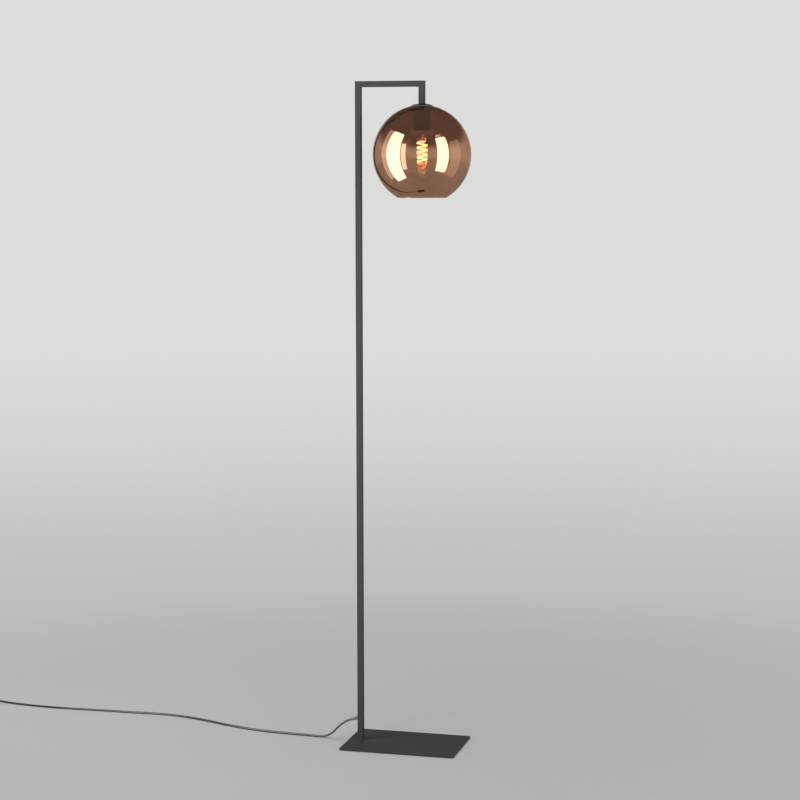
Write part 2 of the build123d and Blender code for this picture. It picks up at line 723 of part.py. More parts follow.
def holder_terminal_screws():
    screw = slotted_screw(
        TERMINAL_SCREW_DIA, TERMINAL_SCREW_GRIP, TERMINAL_SCREW_HEAD_DIA, TERMINAL_SCREW_HEAD
    )
    y = TERMINAL_AT + TERMINAL_LENGTH / 2
    return Compound([Pos(DROP_X, side * y, TERMINAL_TOP) * screw for side in (-1, 1)])


# ---------------------------------------------------------------- bulb
def bulb_tip():
    tip = rod(TIP_DIA / 2, TIP_FOOT, TIP_TOP)
    return on_drop(fillet(tip.edges().group_by(Axis.Z)[-1], TIP_EDGE))


def bulb_insulator():
    return on_drop(cone(INSULATOR_FOOT_DIA / 2, INSULATOR_TOP_DIA / 2, CAP_SHELL_TOP, TIP_FOOT))


def bulb_cap():
    radius = CAP_SHELL_DIA / 2
    shoulder = CAP_SHELL_TOP - CAP_SHOULDER
    outer = rod(radius, CAP_SHELL_FOOT, shoulder)
    outer += cone(radius, INSULATOR_FOOT_DIA / 2, shoulder, CAP_SHELL_TOP)
    inner = rod(radius - CAP_SHELL_WALL, CAP_SHELL_FOOT, shoulder)
    inner += cone(
        radius - CAP_SHELL_WALL, INSULATOR_FOOT_DIA / 2 - CAP_SHELL_WALL, shoulder, CAP_SHELL_TOP
    )
    return on_drop(outer - inner)


def bulb_body(inset):
    """Solid of the bulb's outline, drawn in by inset: a round belly under an S-shaped shoulder."""
    belly = BULB_DIA / 2 - inset
    neck = BULB_NECK_DIA / 2 - inset
    middle = ((belly + neck) / 2, BULB_SHOULDER / 2)
    with BuildPart() as made:
        with BuildSketch(Plane.XZ):
            with BuildLine():
                RadiusArc((0, -belly), (belly, 0), -belly)
                lower = TangentArc((belly, 0), middle, tangent=(0, 1))
                TangentArc(middle, (neck, BULB_SHOULDER), tangent=lower % 1)
                Line((neck, BULB_SHOULDER), (0, BULB_SHOULDER))
                Line((0, BULB_SHOULDER), (0, -belly))
            make_face()
        revolve(axis=Axis.Z)
    return Pos(0, 0, BELLY_Z) * made.part


def bulb_glass():
    hollow = bulb_body(BULB_WALL) - rod(BULB_DIA, NECK_TOP - BULB_WALL, NECK_TOP + 1)
    return on_drop(bulb_body(0.0) - hollow)


def bulb_stem():
    flare_foot = STEM_TOP - STEM_FLARE
    flare = cone(STEM_DIA / 2, STEM_FLARE_DIA / 2, flare_foot, STEM_TOP)
    return on_drop(flare + rod(STEM_DIA / 2, STEM_FOOT, flare_foot))


def bulb_driver():
    """Small upright circuit board in the bulb's cap, with a capacitor."""
    board = block(DRIVER_BOARD, DRIVER_THICK, NECK_TOP, NECK_TOP + DRIVER_HEIGHT)
    aside = CAPACITOR_DIA / 2 + DRIVER_THICK / 3
    capacitor = rod(CAPACITOR_DIA / 2, NECK_TOP, NECK_TOP + CAPACITOR_HEIGHT, 0, aside)
    return on_drop(board + capacitor)


def filament_point(turn):
    angle = radians(FILAMENT_FIRST) + 2 * pi * turn
    return Vector(
        DROP_X + FILAMENT_COIL_RADIUS * cos(angle),
        FILAMENT_COIL_RADIUS * sin(angle),
        FILAMENT_TOP - FILAMENT_PITCH * turn,
    )


def filament_wire():
    return wound_wire(filament_point, FILAMENT_TURNS, FILAMENT_DIA)


def bulb_filament():
    least_gap("bulb_filament", filament_point, FILAMENT_TURNS, FILAMENT_DIA)
    return tube_along(filament_wire(), FILAMENT_DIA)


def bulb_wires():
    """Two supports from the stem: one to the coil's upper end, one down its middle to the lower."""
    coil = filament_wire()
    upper_end, upper_way = coil @ 0, coil % 0
    lower_end, lower_way = coil @ 1, coil % 1
    knee = Vector(DROP_X, 0, STEM_FOOT - WIRE_KNEE)
    outward = Vector(cos(radians(FILAMENT_FIRST)), sin(radians(FILAMENT_FIRST)), 0)
    in_stem = Vector(DROP_X, 0, STEM_FOOT + WIRE_IN_STEM)
    upper = [
        in_stem + outward * WIRES_APART / 2,
        knee + outward * WIRE_SPREAD,
        upper_end - upper_way * WIRE_SPREAD,
        upper_end,
    ]
    below = lower_end.Z - WIRE_LOOP
    lower = [
        in_stem - outward * WIRES_APART / 2,
        knee - outward * WIRE_SPREAD,
        Vector(DROP_X, 0, FILAMENT_TOP),
        Vector(DROP_X, 0, below),
        lower_end + lower_way * WIRE_SPREAD,
        lower_end,
    ]
    bend = 2 * WIRE_DIA
    return Compound([tube_along(FilletPolyline(*p, radius=bend), WIRE_DIA) for p in (upper, lower)])


# ---------------------------------------------------------------- cord
def to_switch():
    tip, way = relief_tip()
    entry_x = POLE_X + SWITCH_ENTRY[0]
    points = [tuple(tip), tuple(tip + way * EXIT_RUN)]
    points += [(POLE_X + x, y, z) for x, y, z in ROUTE_TO_SWITCH]
    points += [(entry_x + SWITCH_RUN, SWITCH_Y, SWITCH_SPLIT), (entry_x, SWITCH_Y, SWITCH_SPLIT)]
    return cord_tube("cord_to_switch", points, CORD_DIA)


def to_coil():
    out, down, along = COIL_RUNS
    aside = SWITCH_Y - COIL_ASIDE
    points = [
        (SWITCH_FAR_X, SWITCH_Y, SWITCH_SPLIT),
        (SWITCH_FAR_X - out, SWITCH_Y, SWITCH_SPLIT),
        (SWITCH_FAR_X - out - down, aside, COIL_Z),
        (SWITCH_FAR_X - out - down - along, aside, COIL_Z),
    ]
    return cord_tube("cord_to_coil", points, CORD_DIA)


def coil_point(turn):
    """The coil spirals in, turns back while it climbs a layer, and spirals out again."""
    reverse = COIL_TURNS / 2
    inward = min(turn, COIL_TURNS - turn)
    radius = COIL_OUTER_RADIUS - COIL_STEP * inward
    climbed = min(max((turn - reverse) / COIL_CLIMB + 0.5, 0.0), 1.0)
    height = COIL_Z + COIL_STEP * climbed**2 * (3 - 2 * climbed)
    angle = pi / 2 + 2 * pi * turn
    return Vector(COIL_X + radius * cos(angle), COIL_Y + radius * sin(angle), height)


def cord_coil():
    least_gap("cord_coil", coil_point, COIL_TURNS, CORD_DIA)
    ends = (Vector(-1, 0, 0), Vector(1, 0, 0))
    path = wound_wire(coil_point, COIL_TURNS, COIL_LEAD, ends)
    print("cord_coil length", round(path.length, 1))
    return tube_along(path, CORD_DIA)


def cord_tie():
    """A flat band round all the turns, on the side away from the climb."""
    reverse = COIL_TURNS / 2
    outer_turn = COIL_OUTER_RADIUS - COIL_STEP / 4
    inner_turn = COIL_OUTER_RADIUS - COIL_STEP * (reverse - COIL_CLIMB)
    reach = CORD_DIA / 2 + TIE_GAP
    width = outer_turn - inner_turn + 2 * reach
    height = COIL_STEP + 2 * reach
    middle = COIL_X - (outer_turn + inner_turn) / 2
    level = COIL_Z + COIL_STEP / 2
    plane = Plane(origin=(middle, COIL_Y, level), x_dir=(1, 0, 0), z_dir=(0, -1, 0))
    corner = reach
    outer = RectangleRounded(width + 2 * TIE_THICK, height + 2 * TIE_THICK, corner + TIE_THICK)
    band = outer - RectangleRounded(width, height, corner)
    return extrude(plane * band, amount=TIE_WIDTH / 2, both=True)


def to_plug():
    out, down, along = PLUG_RUNS
    points = [
        (COIL_END_X, COIL_END_Y, COIL_END_Z),
        (COIL_END_X + out, COIL_END_Y, COIL_END_Z),
        (COIL_END_X + out + down, PLUG_Y, PLUG_Z),
        (COIL_END_X + out + down + along, PLUG_Y, PLUG_Z),
    ]
    return cord_tube("cord_to_plug", points, CORD_DIA)


# ---------------------------------------------------------------- foot switch
def switch_outline(inset, low, high):
    size = (SWITCH_LENGTH - 2 * inset, SWITCH_WIDTH - 2 * inset)
    face = Pos(SWITCH_X, SWITCH_Y, low) * RectangleRounded(*size, SWITCH_CORNER - inset)
    return extrude(face, amount=high - low)


def bush_bores():
    """Round passages for the cord bushes at both ends of the case."""
    half = SWITCH_LENGTH / 2
    radius = BUSH_DIA / 2 + THREAD_FIT
    near = SWITCH_X + half
    far = SWITCH_X - half
    return [
        along_x(radius, far - 1, far + BUSH_INSIDE + 1, SWITCH_Y, SWITCH_SPLIT),
        along_x(radius, near - BUSH_INSIDE - 1, near + 1, SWITCH_Y, SWITCH_SPLIT),
    ]


def post_places():
    return [
        (SWITCH_X + side * POST_ALONG, SWITCH_Y + side * POST_ACROSS) for side in (-1, 1)
    ]


def switch_base():
    case = switch_outline(0, 0, SWITCH_SPLIT)
    case -= switch_outline(SWITCH_WALL, SWITCH_WALL, SWITCH_SPLIT + 1)
    for x, y in post_places():
        case += rod(POST_DIA / 2, SWITCH_WALL, SWITCH_SPLIT, x, y)
        case -= rod(CASE_SCREW_DIA / 2 + THREAD_FIT, -1, SWITCH_SPLIT + 1, x, y)
        case -= rod(CASE_SCREW_HEAD_DIA / 2 + THREAD_FIT, -1, CASE_SCREW_HEAD + BUTTON_FIT, x, y)
    for bore in bush_bores():
        case -= bore
    return case


def switch_cover():
    case = switch_outline(0, SWITCH_SPLIT, SWITCH_TOP)
    case = fillet(case.edges().group_by(Axis.Z)[-1], SWITCH_EDGE)
    case -= switch_outline(SWITCH_WALL, SWITCH_SPLIT - 1, SWITCH_TOP - SWITCH_WALL)
    grip_top = CASE_SCREW_HEAD + BUTTON_FIT + CASE_SCREW_LENGTH
    for x, y in post_places():
        case += rod(POST_DIA / 2, SWITCH_SPLIT, SWITCH_TOP - SWITCH_WALL, x, y)
        case -= rod(CASE_SCREW_DIA / 2 + THREAD_FIT, 0, grip_top, x, y)
    for bore in bush_bores():
        case -= bore
    return case - rod(BUTTON_DIA / 2 + BUTTON_FIT, 0, SWITCH_TOP + 1, SWITCH_X, SWITCH_Y)


def switch_button():
    at = (SWITCH_X, SWITCH_Y)
    radius = BUTTON_DIA / 2
    body = rod(radius, FLANGE_FOOT, BUTTON_TOP, *at)
    body = fillet(body.edges().group_by(Axis.Z)[-1], BUTTON_EDGE)
    body -= rod(radius - BUTTON_SHELL, FLANGE_FOOT, BUTTON_ROOF, *at)
    body += ring(radius + BUTTON_FLANGE, radius - BUTTON_SHELL, FLANGE_FOOT, FLANGE_TOP, *at)
    stem_foot = BLOCK_TOP - BUTTON_FIT
    return body + rod(BUTTON_STEM_DIA / 2, stem_foot, BUTTON_ROOF, *at)


def switch_block():
    body = block(BLOCK_LENGTH, BLOCK_WIDTH, SWITCH_WALL, BLOCK_TOP, SWITCH_X, SWITCH_Y)
    guide = rod(BUTTON_STEM_DIA / 2 + BUTTON_FIT, SWITCH_WALL + 1, BLOCK_TOP + 1, SWITCH_X, SWITCH_Y)
    return body - guide


def spring_point(turn):
    angle = 2 * pi * turn
    room = BUTTON_ROOF - BLOCK_TOP - SPRING_WIRE - 2 * BUTTON_FIT
    return Vector(
        SWITCH_X + SPRING_RADIUS * cos(angle),
        SWITCH_Y + SPRING_RADIUS * sin(angle),
        BLOCK_TOP + SPRING_WIRE / 2 + BUTTON_FIT + room * turn / SPRING_TURNS,
    )


def switch_spring():
    least_gap("switch_spring", spring_point, SPRING_TURNS, SPRING_WIRE)
    return tube_along(wound_wire(spring_point, SPRING_TURNS, SPRING_WIRE), SPRING_WIRE)


def switch_terminals():
    half = BLOCK_LENGTH / 2 + SWITCH_TERMINAL / 2
    made = []
    for side in (-1, 1):
        x = SWITCH_X + side * half
        made.append(
            block(SWITCH_TERMINAL, 2 * SWITCH_TERMINAL, SWITCH_WALL, BLOCK_TOP, x, SWITCH_Y)
        )
    return Compound(made)


def switch_bushes():
    """Tapered cord bushes at both ends of the switch."""
    made = []
    for side in (-1, 1):
        face = SWITCH_X + side * SWITCH_LENGTH / 2
        inside = face - side * BUSH_INSIDE
        barrel = along_x(BUSH_DIA / 2, min(face, inside), max(face, inside), SWITCH_Y, SWITCH_SPLIT)
        plane = Plane(origin=(face, SWITCH_Y, SWITCH_SPLIT), x_dir=(0, 1, 0), z_dir=(side, 0, 0))
        taper = plane * Cone(BUSH_DIA / 2, BUSH_TIP_DIA / 2, BUSH_LENGTH, align=UP_FROM)
        made.append(barrel + taper)
    return Compound(made)


def switch_screws():
    seat = CASE_SCREW_HEAD + BUTTON_FIT
    made = []
    for x, y in post_places():
        shank = rod(CASE_SCREW_DIA / 2, seat, seat + CASE_SCREW_LENGTH - BUTTON_FIT, x, y)
        made.append(shank + rod(CASE_SCREW_HEAD_DIA / 2, BUTTON_FIT, seat, x, y))
    return Compound(made)


# ---------------------------------------------------------------- plug
def pin_places():
    return [PLUG_Y + side * PIN_SPACING / 2 for side in (-1, 1)]


def plug_body():
    """Flat body, widest behind its face, with a tapered strain relief."""
    widest_x = PLUG_FACE_X - PLUG_SHOULDER
    outline = [
        (PLUG_FACE_X, PLUG_Y - PLUG_FACE_WIDTH / 2),
        (PLUG_FACE_X, PLUG_Y + PLUG_FACE_WIDTH / 2),
        (widest_x, PLUG_Y + PLUG_WIDTH / 2),
        (PLUG_BACK_X, PLUG_Y + PLUG_TAIL_WIDTH / 2),
        (PLUG_BACK_X, PLUG_Y - PLUG_TAIL_WIDTH / 2),
        (widest_x, PLUG_Y - PLUG_WIDTH / 2),
    ]
    body = extrude(make_face(Polyline(*outline, close=True)), amount=PLUG_THICK)
    levels = body.edges().group_by(Axis.Z)
    body = fillet(levels[0] + levels[-1], PLUG_EDGE)
    root_x = PLUG_BACK_X + PLUG_EDGE
    tip, root = PLUG_RELIEF_TIP_DIA / 2, PLUG_RELIEF_ROOT_DIA / 2
    body += taper_along_x(tip, root, PLUG_X, root_x, PLUG_Y, PLUG_Z)
    inside_x = PLUG_FACE_X - PIN_IN_BODY
    for y in pin_places():
        body -= along_x(PIN_ROOT_DIA / 2 + THREAD_FIT, inside_x, PLUG_FACE_X + 1, y, PLUG_Z)
    return body


def plug_pins():
    """Round-tipped pins on thinner roots, which are moulded into the body."""
    made = []
    for y in pin_places():
        pin = along_x(PIN_DIA / 2, PLUG_FACE_X, PLUG_FACE_X + PIN_LENGTH, y, PLUG_Z)
        pin = fillet(pin.edges().group_by(Axis.X)[-1], PIN_TIP)
        root = along_x(PIN_ROOT_DIA / 2, PLUG_FACE_X - PIN_IN_BODY, PLUG_FACE_X, y, PLUG_Z)
        made.append(pin + root)
    return Compound(made)


# ---------------------------------------------------------------- writing the parts
PARTS = {
    "base_plate": base_plate,
    "base_pads": base_pads,
    "base_screw": base_screw,
    "foot_block": foot_block,
    "pole_tube": pole_tube,
    "arm_tube": arm_tube,
    "drop_tube": drop_tube,
    "drop_plug": drop_plug,
    "strain_relief": strain_relief,
    "inner_lead": inner_lead,
    "core_live": core_live,
    "core_neutral": core_neutral,
    "nipple": nipple,
    "shade_cap": shade_cap,
    "cap_seal": cap_seal,
    "glass_shade": glass_shade,
    "ring_seal": ring_seal,
    "shade_ring": shade_ring,
    "holder_cap": holder_cap,
    "holder_shell": holder_shell,
    "holder_core": holder_core,
    "holder_sleeve": holder_sleeve,
    "centre_contact": centre_contact,
    "holder_rivets": holder_rivets,
    "holder_terminals": holder_terminals,
    "holder_terminal_screws": holder_terminal_screws,
    "bulb_tip": bulb_tip,
    "bulb_insulator": bulb_insulator,
    "bulb_cap": bulb_cap,
    "bulb_glass": bulb_glass,
    "bulb_stem": bulb_stem,
    "bulb_driver": bulb_driver,
    "bulb_filament": bulb_filament,
    "bulb_wires": bulb_wires,
    "cord_to_switch": to_switch,
    "cord_to_coil": to_coil,
    "cord_coil": cord_coil,
    "cord_tie": cord_tie,
    "cord_to_plug": to_plug,
    "switch_base": switch_base,
    "switch_cover": switch_cover,
    "switch_button": switch_button,
    "switch_block": switch_block,
    "switch_spring": switch_spring,
    "switch_terminals": switch_terminals,
    "switch_bushes": switch_bushes,
    "switch_screws": switch_screws,
    "plug_body": plug_body,
    "plug_pins": plug_pins,
}

os.makedirs("parts", exist_ok=True)
for name, make in PARTS.items():
    export_step(make(), f"parts/{name}.step")
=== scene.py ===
import json
from math import acos, asin, atan2, copysign, cos, degrees, pi, radians, sin, sqrt, tau

import bmesh
import bpy
from mathutils import Matrix, Vector

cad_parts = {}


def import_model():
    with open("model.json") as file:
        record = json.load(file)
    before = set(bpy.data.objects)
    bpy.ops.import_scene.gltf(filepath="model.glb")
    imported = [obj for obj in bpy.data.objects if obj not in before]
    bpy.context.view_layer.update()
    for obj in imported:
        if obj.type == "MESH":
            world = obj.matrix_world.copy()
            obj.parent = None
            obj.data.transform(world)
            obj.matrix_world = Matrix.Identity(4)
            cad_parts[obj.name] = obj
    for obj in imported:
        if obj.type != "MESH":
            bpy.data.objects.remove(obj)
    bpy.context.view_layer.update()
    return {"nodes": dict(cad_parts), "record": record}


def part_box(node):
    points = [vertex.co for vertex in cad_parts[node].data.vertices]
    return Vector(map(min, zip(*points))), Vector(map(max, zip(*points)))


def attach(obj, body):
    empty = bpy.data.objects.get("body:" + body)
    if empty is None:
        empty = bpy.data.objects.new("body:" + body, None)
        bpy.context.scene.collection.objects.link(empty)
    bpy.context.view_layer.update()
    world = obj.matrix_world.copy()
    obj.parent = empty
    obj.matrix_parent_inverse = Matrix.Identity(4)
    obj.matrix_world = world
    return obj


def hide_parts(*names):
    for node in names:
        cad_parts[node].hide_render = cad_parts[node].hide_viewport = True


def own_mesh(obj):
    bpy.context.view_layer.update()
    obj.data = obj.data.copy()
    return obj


# Looks of the globe floor lamp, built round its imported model. Metres, +Z up, floor at Z = 0.
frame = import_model()


def middle(node):
    low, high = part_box(node)
    return (low + high) / 2


# ---------------------------------------------------------------- places taken from the frame
POLE_X = middle("foot_block").x
DROP_X = middle("nipple").x
SWITCH_MID = middle("switch_base")
SWITCH_LOW, SWITCH_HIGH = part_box("switch_cover")
GLASS_LOW, GLASS_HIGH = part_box("glass_shade")

# ---------------------------------------------------------------- sizes that the frame's boxes don't give
CORD_DIA = 0.005
EXIT_Z = 0.055
CORD_BORE_FIT = 0.00005
RELIEF_FLANGE_DIA = 0.010
RELIEF_FLANGE = 0.0015
RELIEF_BARREL_DIA = 0.0078
RELIEF_LIP_DIA = 0.0092
RELIEF_LIP = 0.0018
RELIEF_TAIL = 0.0155
RELIEF_ROOT_DIA = 0.008
RELIEF_TIP_DIA = 0.0062
RELIEF_EDGE = 0.0006
RELIEF_DROOP = radians(18)
RELIEF_RIBS = 6
RELIEF_GROOVE = 0.0005
TUBE = 0.013
TUBE_WALL = 0.0012

GLASS_WALL = 0.0025
GLASS_LIP = 0.0007
SEAT_RADIUS = 0.024
NECK_HOLE = 0.0205

BULB_RADIUS = 0.032
BULB_WALL = 0.0009
BULB_NECK = 0.0125
BULB_SHOULDER = 0.0859
CAP_WALL = 0.0004
CAP_SHOULDER = 0.0015
CAP_PLAIN_FOOT = 0.002
CAP_PLAIN_TOP = 0.001
CAP_ROWS = 72
CAP_TOP_RADIUS = 0.0112
THREAD_PITCH = 0.003629
THREAD_DEPTH = 0.0009
THREAD_FADE = 0.003
FILAMENT_DIA = 0.0024
FILAMENT_COIL = 0.0105
FILAMENT_PITCH = 0.0103
FILAMENT_TURNS = 4.8
FILAMENT_FIRST = radians(70)
FILAMENT_BELOW_STEM = 0.016
FILAMENT_GLOW = 42.0

HOLDER_WALL = 0.0022
SHELL_PITCH = 0.0025
SHELL_THREAD = 0.0006
SHELL_THREADED_SHARE = 0.62
SHELL_PLAIN_FOOT = 0.001
SHELL_PLAIN_TOP = 0.002
SHELL_FLUTES = 32
SHELL_ROWS = 160
LEDGE_WIDTH = 0.0023
LEDGE_THICK = 0.002
SLEEVE_WALL = 0.0005
SLEEVE_FLANGE = 0.0024
SLEEVE_PLAIN_TOP = 0.003
SLEEVE_ROWS = 80
RING_COLLAR_WALL = 0.0024
RING_FIT = 0.00015
RING_FLANGE = 0.0025
RING_TEETH = 48
RING_TOOTH = 0.0007
RING_TEETH_FROM = 0.001
RING_ROWS = 6
RING_BEVEL = 0.0008
RING_FLANGE_BEVEL = 0.0005

SWITCH_WALL = 0.002
SWITCH_CORNER = 0.012
SWITCH_EDGE = 0.0025
SWITCH_SEAM = 0.0004
COLLAR_WIDTH = 0.0014
COLLAR_RISE = 0.0008
BUTTON_FIT = 0.0003
BUTTON_FLANGE = 0.0015
BUTTON_FLANGE_THICK = 0.0015
BUTTON_SHELL = 0.002
BUTTON_EDGE = 0.0015
BUTTON_STEM_RADIUS = 0.0025
BUTTON_RINGS = 5
BUTTON_GROOVE = 0.0004
SPRING_WIRE = 0.0008
SPRING_TURNS = 3.5
SPRING_DEAD_TURNS = 0.5
BUSH_INSIDE = 0.004
BUSH_RADIUS = 0.0045
BUSH_TIP_RADIUS = 0.0032
BUSH_RIBS = 4
BUSH_GROOVE = 0.0007

PLUG_RELIEF = 0.022
PLUG_RELIEF_TIP = 0.0035
PLUG_RELIEF_ROOT = 0.0055
PLUG_TAIL = 0.0075
PLUG_FACE = 0.014
PLUG_SHOULDER = 0.007
PLUG_RIBS = 6
PLUG_GROOVE = 0.0009
PLUG_GRIP_RIBS = 7
PLUG_GRIP_FROM = 0.027
PLUG_GRIP_TO = 0.047
PLUG_GRIP_GROOVE = 0.0006
PLUG_EDGE = 0.002
PLUG_SQUARENESS = 5.0
PLUG_SECTIONS = 190
PIN_RADIUS = 0.002
PIN_ROOT_RADIUS = 0.0017
PIN_SPACING = 0.0186
PIN_IN_BODY = 0.008
PIN_SLEEVE = 0.010
PIN_SLEEVE_BEVEL = (0.0002, 0.0003)
PIN_TIP = 0.0015

# ---------------------------------------------------------------- camera
CAMERA_AT = (1.17195, -4.4382, 1.326)
CAMERA_DOWN = radians(6.63)
CAMERA_YAW = radians(14.13)
SENSOR = 36.0
LENS = 92.79
CAMERA_SHIFT = -0.0401


def make_camera():
    data = bpy.data.cameras.new("camera")
    data.sensor_width = SENSOR
    data.lens = LENS
    data.shift_x = CAMERA_SHIFT
    camera = bpy.data.objects.new("camera", data)
    camera.location = CAMERA_AT
    camera.rotation_euler = (pi / 2 - CAMERA_DOWN, 0, CAMERA_YAW)
    bpy.context.scene.collection.objects.link(camera)
    bpy.context.scene.camera = camera


# ---------------------------------------------------------------- helpers for shapes
def add(name, data):
    made = bpy.data.objects.new(name, data)
    bpy.context.scene.collection.objects.link(made)
    return made


def curve_through(name, points, diameter):
    """A round tube along one smooth line with these control points."""
    data = bpy.data.curves.new(name, "CURVE")
    data.dimensions = "3D"
    data.resolution_u = 8
    data.bevel_depth = diameter / 2
    data.bevel_resolution = 6
    data.use_fill_caps = True
    line = data.splines.new("NURBS")
    line.points.add(len(points) - 1)
    for spot, at in zip(line.points, points):
        spot.co = (*at, 1.0)
    line.order_u = 3
    line.use_endpoint_u = True
    return add(name, data)


def smooth(mesh, sharp_from=35.0):
    mesh.shade_smooth()
    mesh.set_sharp_from_angle(angle=radians(sharp_from))


def mesh_from(name, build, sharp_from=35.0):
    """Makes an object from what build adds to an empty bmesh."""
    mesh = bpy.data.meshes.new(name)
    made = bmesh.new()
    build(made)
    bmesh.ops.recalc_face_normals(made, faces=made.faces)
    made.to_mesh(mesh)
    made.free()
    smooth(mesh, sharp_from)
    return add(name, mesh)


def arc(centre_r, centre_z, radius, start, end, steps):
    """Points on an arc of a profile, with angles in degrees from the radial direction."""
    made = []
    for i in range(steps + 1):
        angle = radians(start + (end - start) * i / steps)
        made.append((centre_r + radius * cos(angle), centre_z + radius * sin(angle)))
    return made


def turned(name, profile, at=(0, 0, 0), way=(0, 0, 1), segments=96, closed=True, shape=None, sharp=35.0):
    """Turns a profile of (radius, height) about an axis; shape may change a point's radius."""
    to_axis = Matrix.Translation(Vector(at)) @ Vector(way).to_track_quat("Z", "Y").to_matrix().to_4x4()

    def build(made):
        rings = []
        for radius, height in profile:
            if radius < 1e-6:
                rings.append([made.verts.new(to_axis @ Vector((0, 0, height)))])
                continue
            ring = []
            for i in range(segments):
                angle = tau * i / segments
                r = shape(radius, height, angle) if shape else radius
                ring.append(made.verts.new(to_axis @ Vector((r * cos(angle), r * sin(angle), height))))
            rings.append(ring)
        following = rings[1:] + rings[:1] if closed else rings[1:]
        for low, high in zip(rings, following):
            if len(low) == len(high) == 1:
                continue
            for i in range(segments):
                j = (i + 1) % segments
                corners = [low[i % len(low)], low[j % len(low)], high[j % len(high)], high[i % len(high)]]
                made.faces.new(list(dict.fromkeys(corners)))

    return mesh_from(name, build, sharp)


def thread(low, high, depth, upper=0.0, pitch=THREAD_PITCH):
    """A shape for turned: a right-hand thread cut into a wall between two heights. Above them the
    wall is cut all round to upper times the depth, and below them it is left whole."""
    def cut(radius, height, angle):
        wave = 0.5 - 0.5 * cos(tau * (height / pitch - angle / tau))
        rising = min(max((height - low) / THREAD_FADE, 0), 1)
        ending = min(max((high - height) / THREAD_FADE, 0), 1)
        return radius - depth * (rising * ending * wave + (1 - ending) * upper)
    return cut


def toothed(radius, angle, count, depth):
    return radius - depth * (0.5 - 0.5 * cos(count * angle)) ** 2


def wall(radius, low, high, rows):
    """Profile points up a straight wall, close enough together to carry a thread."""
    return [(radius, low + (high - low) * i / rows) for i in range(rows + 1)]


def ribbed(start, end, first, last, count, depth):
    """Profile of a tapered wall whose ribs have grooves between them, shallower towards the tip."""
    made = []
    for i in range(count):
        for share, cut in ((0, 0), (0.5, 0), (0.6, 1), (0.9, 1)):
            along = (i + share) / count
            radius = first + (last - first) * along
            made.append((radius - depth * cut * (1 - along / 2), start + (end - start) * along))
    return made + [(last, end)]


def lofted(name, stations, at, sides=72, sharp=40.0):
    """A closed body along X through rounded sections: (x, half width, half height, squareness)."""
    def corner(value, power):
        return copysign(abs(value) ** (2 / power), value)

    def build(made):
        rings = []
        for x, wide, tall, power in stations:
            ring = []
            for i in range(sides):
                angle = tau * i / sides
                y, z = wide * corner(cos(angle), power), tall * corner(sin(angle), power)
                ring.append(made.verts.new(Vector(at) + Vector((x, y, z))))
            rings.append(ring)
        for low, high in zip(rings, rings[1:]):
            for i in range(sides):
                j = (i + 1) % sides
                made.faces.new((low[i], low[j], high[j], high[i]))
        made.faces.new(rings[0])
        made.faces.new(rings[-1])

    return mesh_from(name, build, sharp)


# ---------------------------------------------------------------- cords
ROUTE_TO_SWITCH = (
    (-0.079, 0.0055, 0.0025),
    (-0.124, 0.010, 0.0025),
    (-0.182, 0.013, 0.0025),
    (-0.243, 0.0185, 0.0025),
    (-0.291, 0.0295, 0.0025),
    (-0.341, 0.0455, 0.0025),
    (-0.398, 0.069, 0.0025),
    (-0.450, 0.087, 0.0025),
    (-0.507, 0.098, 0.0025),
    (-0.566, 0.0985, 0.0025),
    (-0.613, 0.0945, 0.0025),
    (-0.672, 0.0955, 0.0025),
    (-0.738, 0.0915, 0.0025),
    (-0.801, 0.0905, 0.0025),
    (-0.862, 0.0945, 0.0025),
    (-0.926, 0.103, 0.0025),
)
EXIT_RUN = 0.0215
SWITCH_RUN = 0.023
SWITCH_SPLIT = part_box("switch_base")[1].z
BUSH_LOW, BUSH_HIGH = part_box("switch_bushes")

COIL_RUNS = (0.018, 0.027, 0.020)
COIL_ASIDE = 0.003
COIL_LEAD = 0.005
COIL_RADIUS = 0.0345
COIL_STEP = 0.0056
COIL_TURNS = 5.5
COIL_CLIMB = 0.5
COIL_Z = 0.0039
PER_TURN = 16
PLUG_RUNS = (0.014, 0.015, 0.013)

SWITCH_Y = SWITCH_MID.y
COIL_X = BUSH_LOW.x - sum(COIL_RUNS) - COIL_LEAD
COIL_Y = SWITCH_Y - COIL_ASIDE - COIL_RADIUS
PLUG_LOW, PLUG_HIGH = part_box("plug_body")
PLUG_TIP = Vector((PLUG_LOW.x, (PLUG_LOW.y + PLUG_HIGH.y) / 2, PLUG_HIGH.z / 2))


def relief_tip():
    way = Vector((-cos(RELIEF_DROOP), 0, -sin(RELIEF_DROOP)))
    root = Vector((POLE_X - TUBE / 2 - RELIEF_FLANGE, 0, EXIT_Z))
    return root, root + way * RELIEF_TAIL, way


def outside(radius, per_turn):
    """Radius of control points whose smooth line runs at a given radius."""
    return radius / cos(pi / per_turn)


def coil_points():
    """Control points of the coil, which spirals in, climbs a layer and spirals out."""
    made = []
    for k in range(round(COIL_TURNS * PER_TURN) + 2):
        turn = (k - 0.5) / PER_TURN
        inward = max(min(turn, COIL_TURNS - turn), 0)
        radius = outside(COIL_RADIUS - COIL_STEP * inward, PER_TURN)
        climbed = min(max((turn - COIL_TURNS / 2) / COIL_CLIMB + 0.5, 0), 1)
        height = COIL_Z + COIL_STEP * climbed**2 * (3 - 2 * climbed)
        angle = pi / 2 + tau * turn
        made.append((COIL_X + radius * cos(angle), COIL_Y + radius * sin(angle), height))
    return made


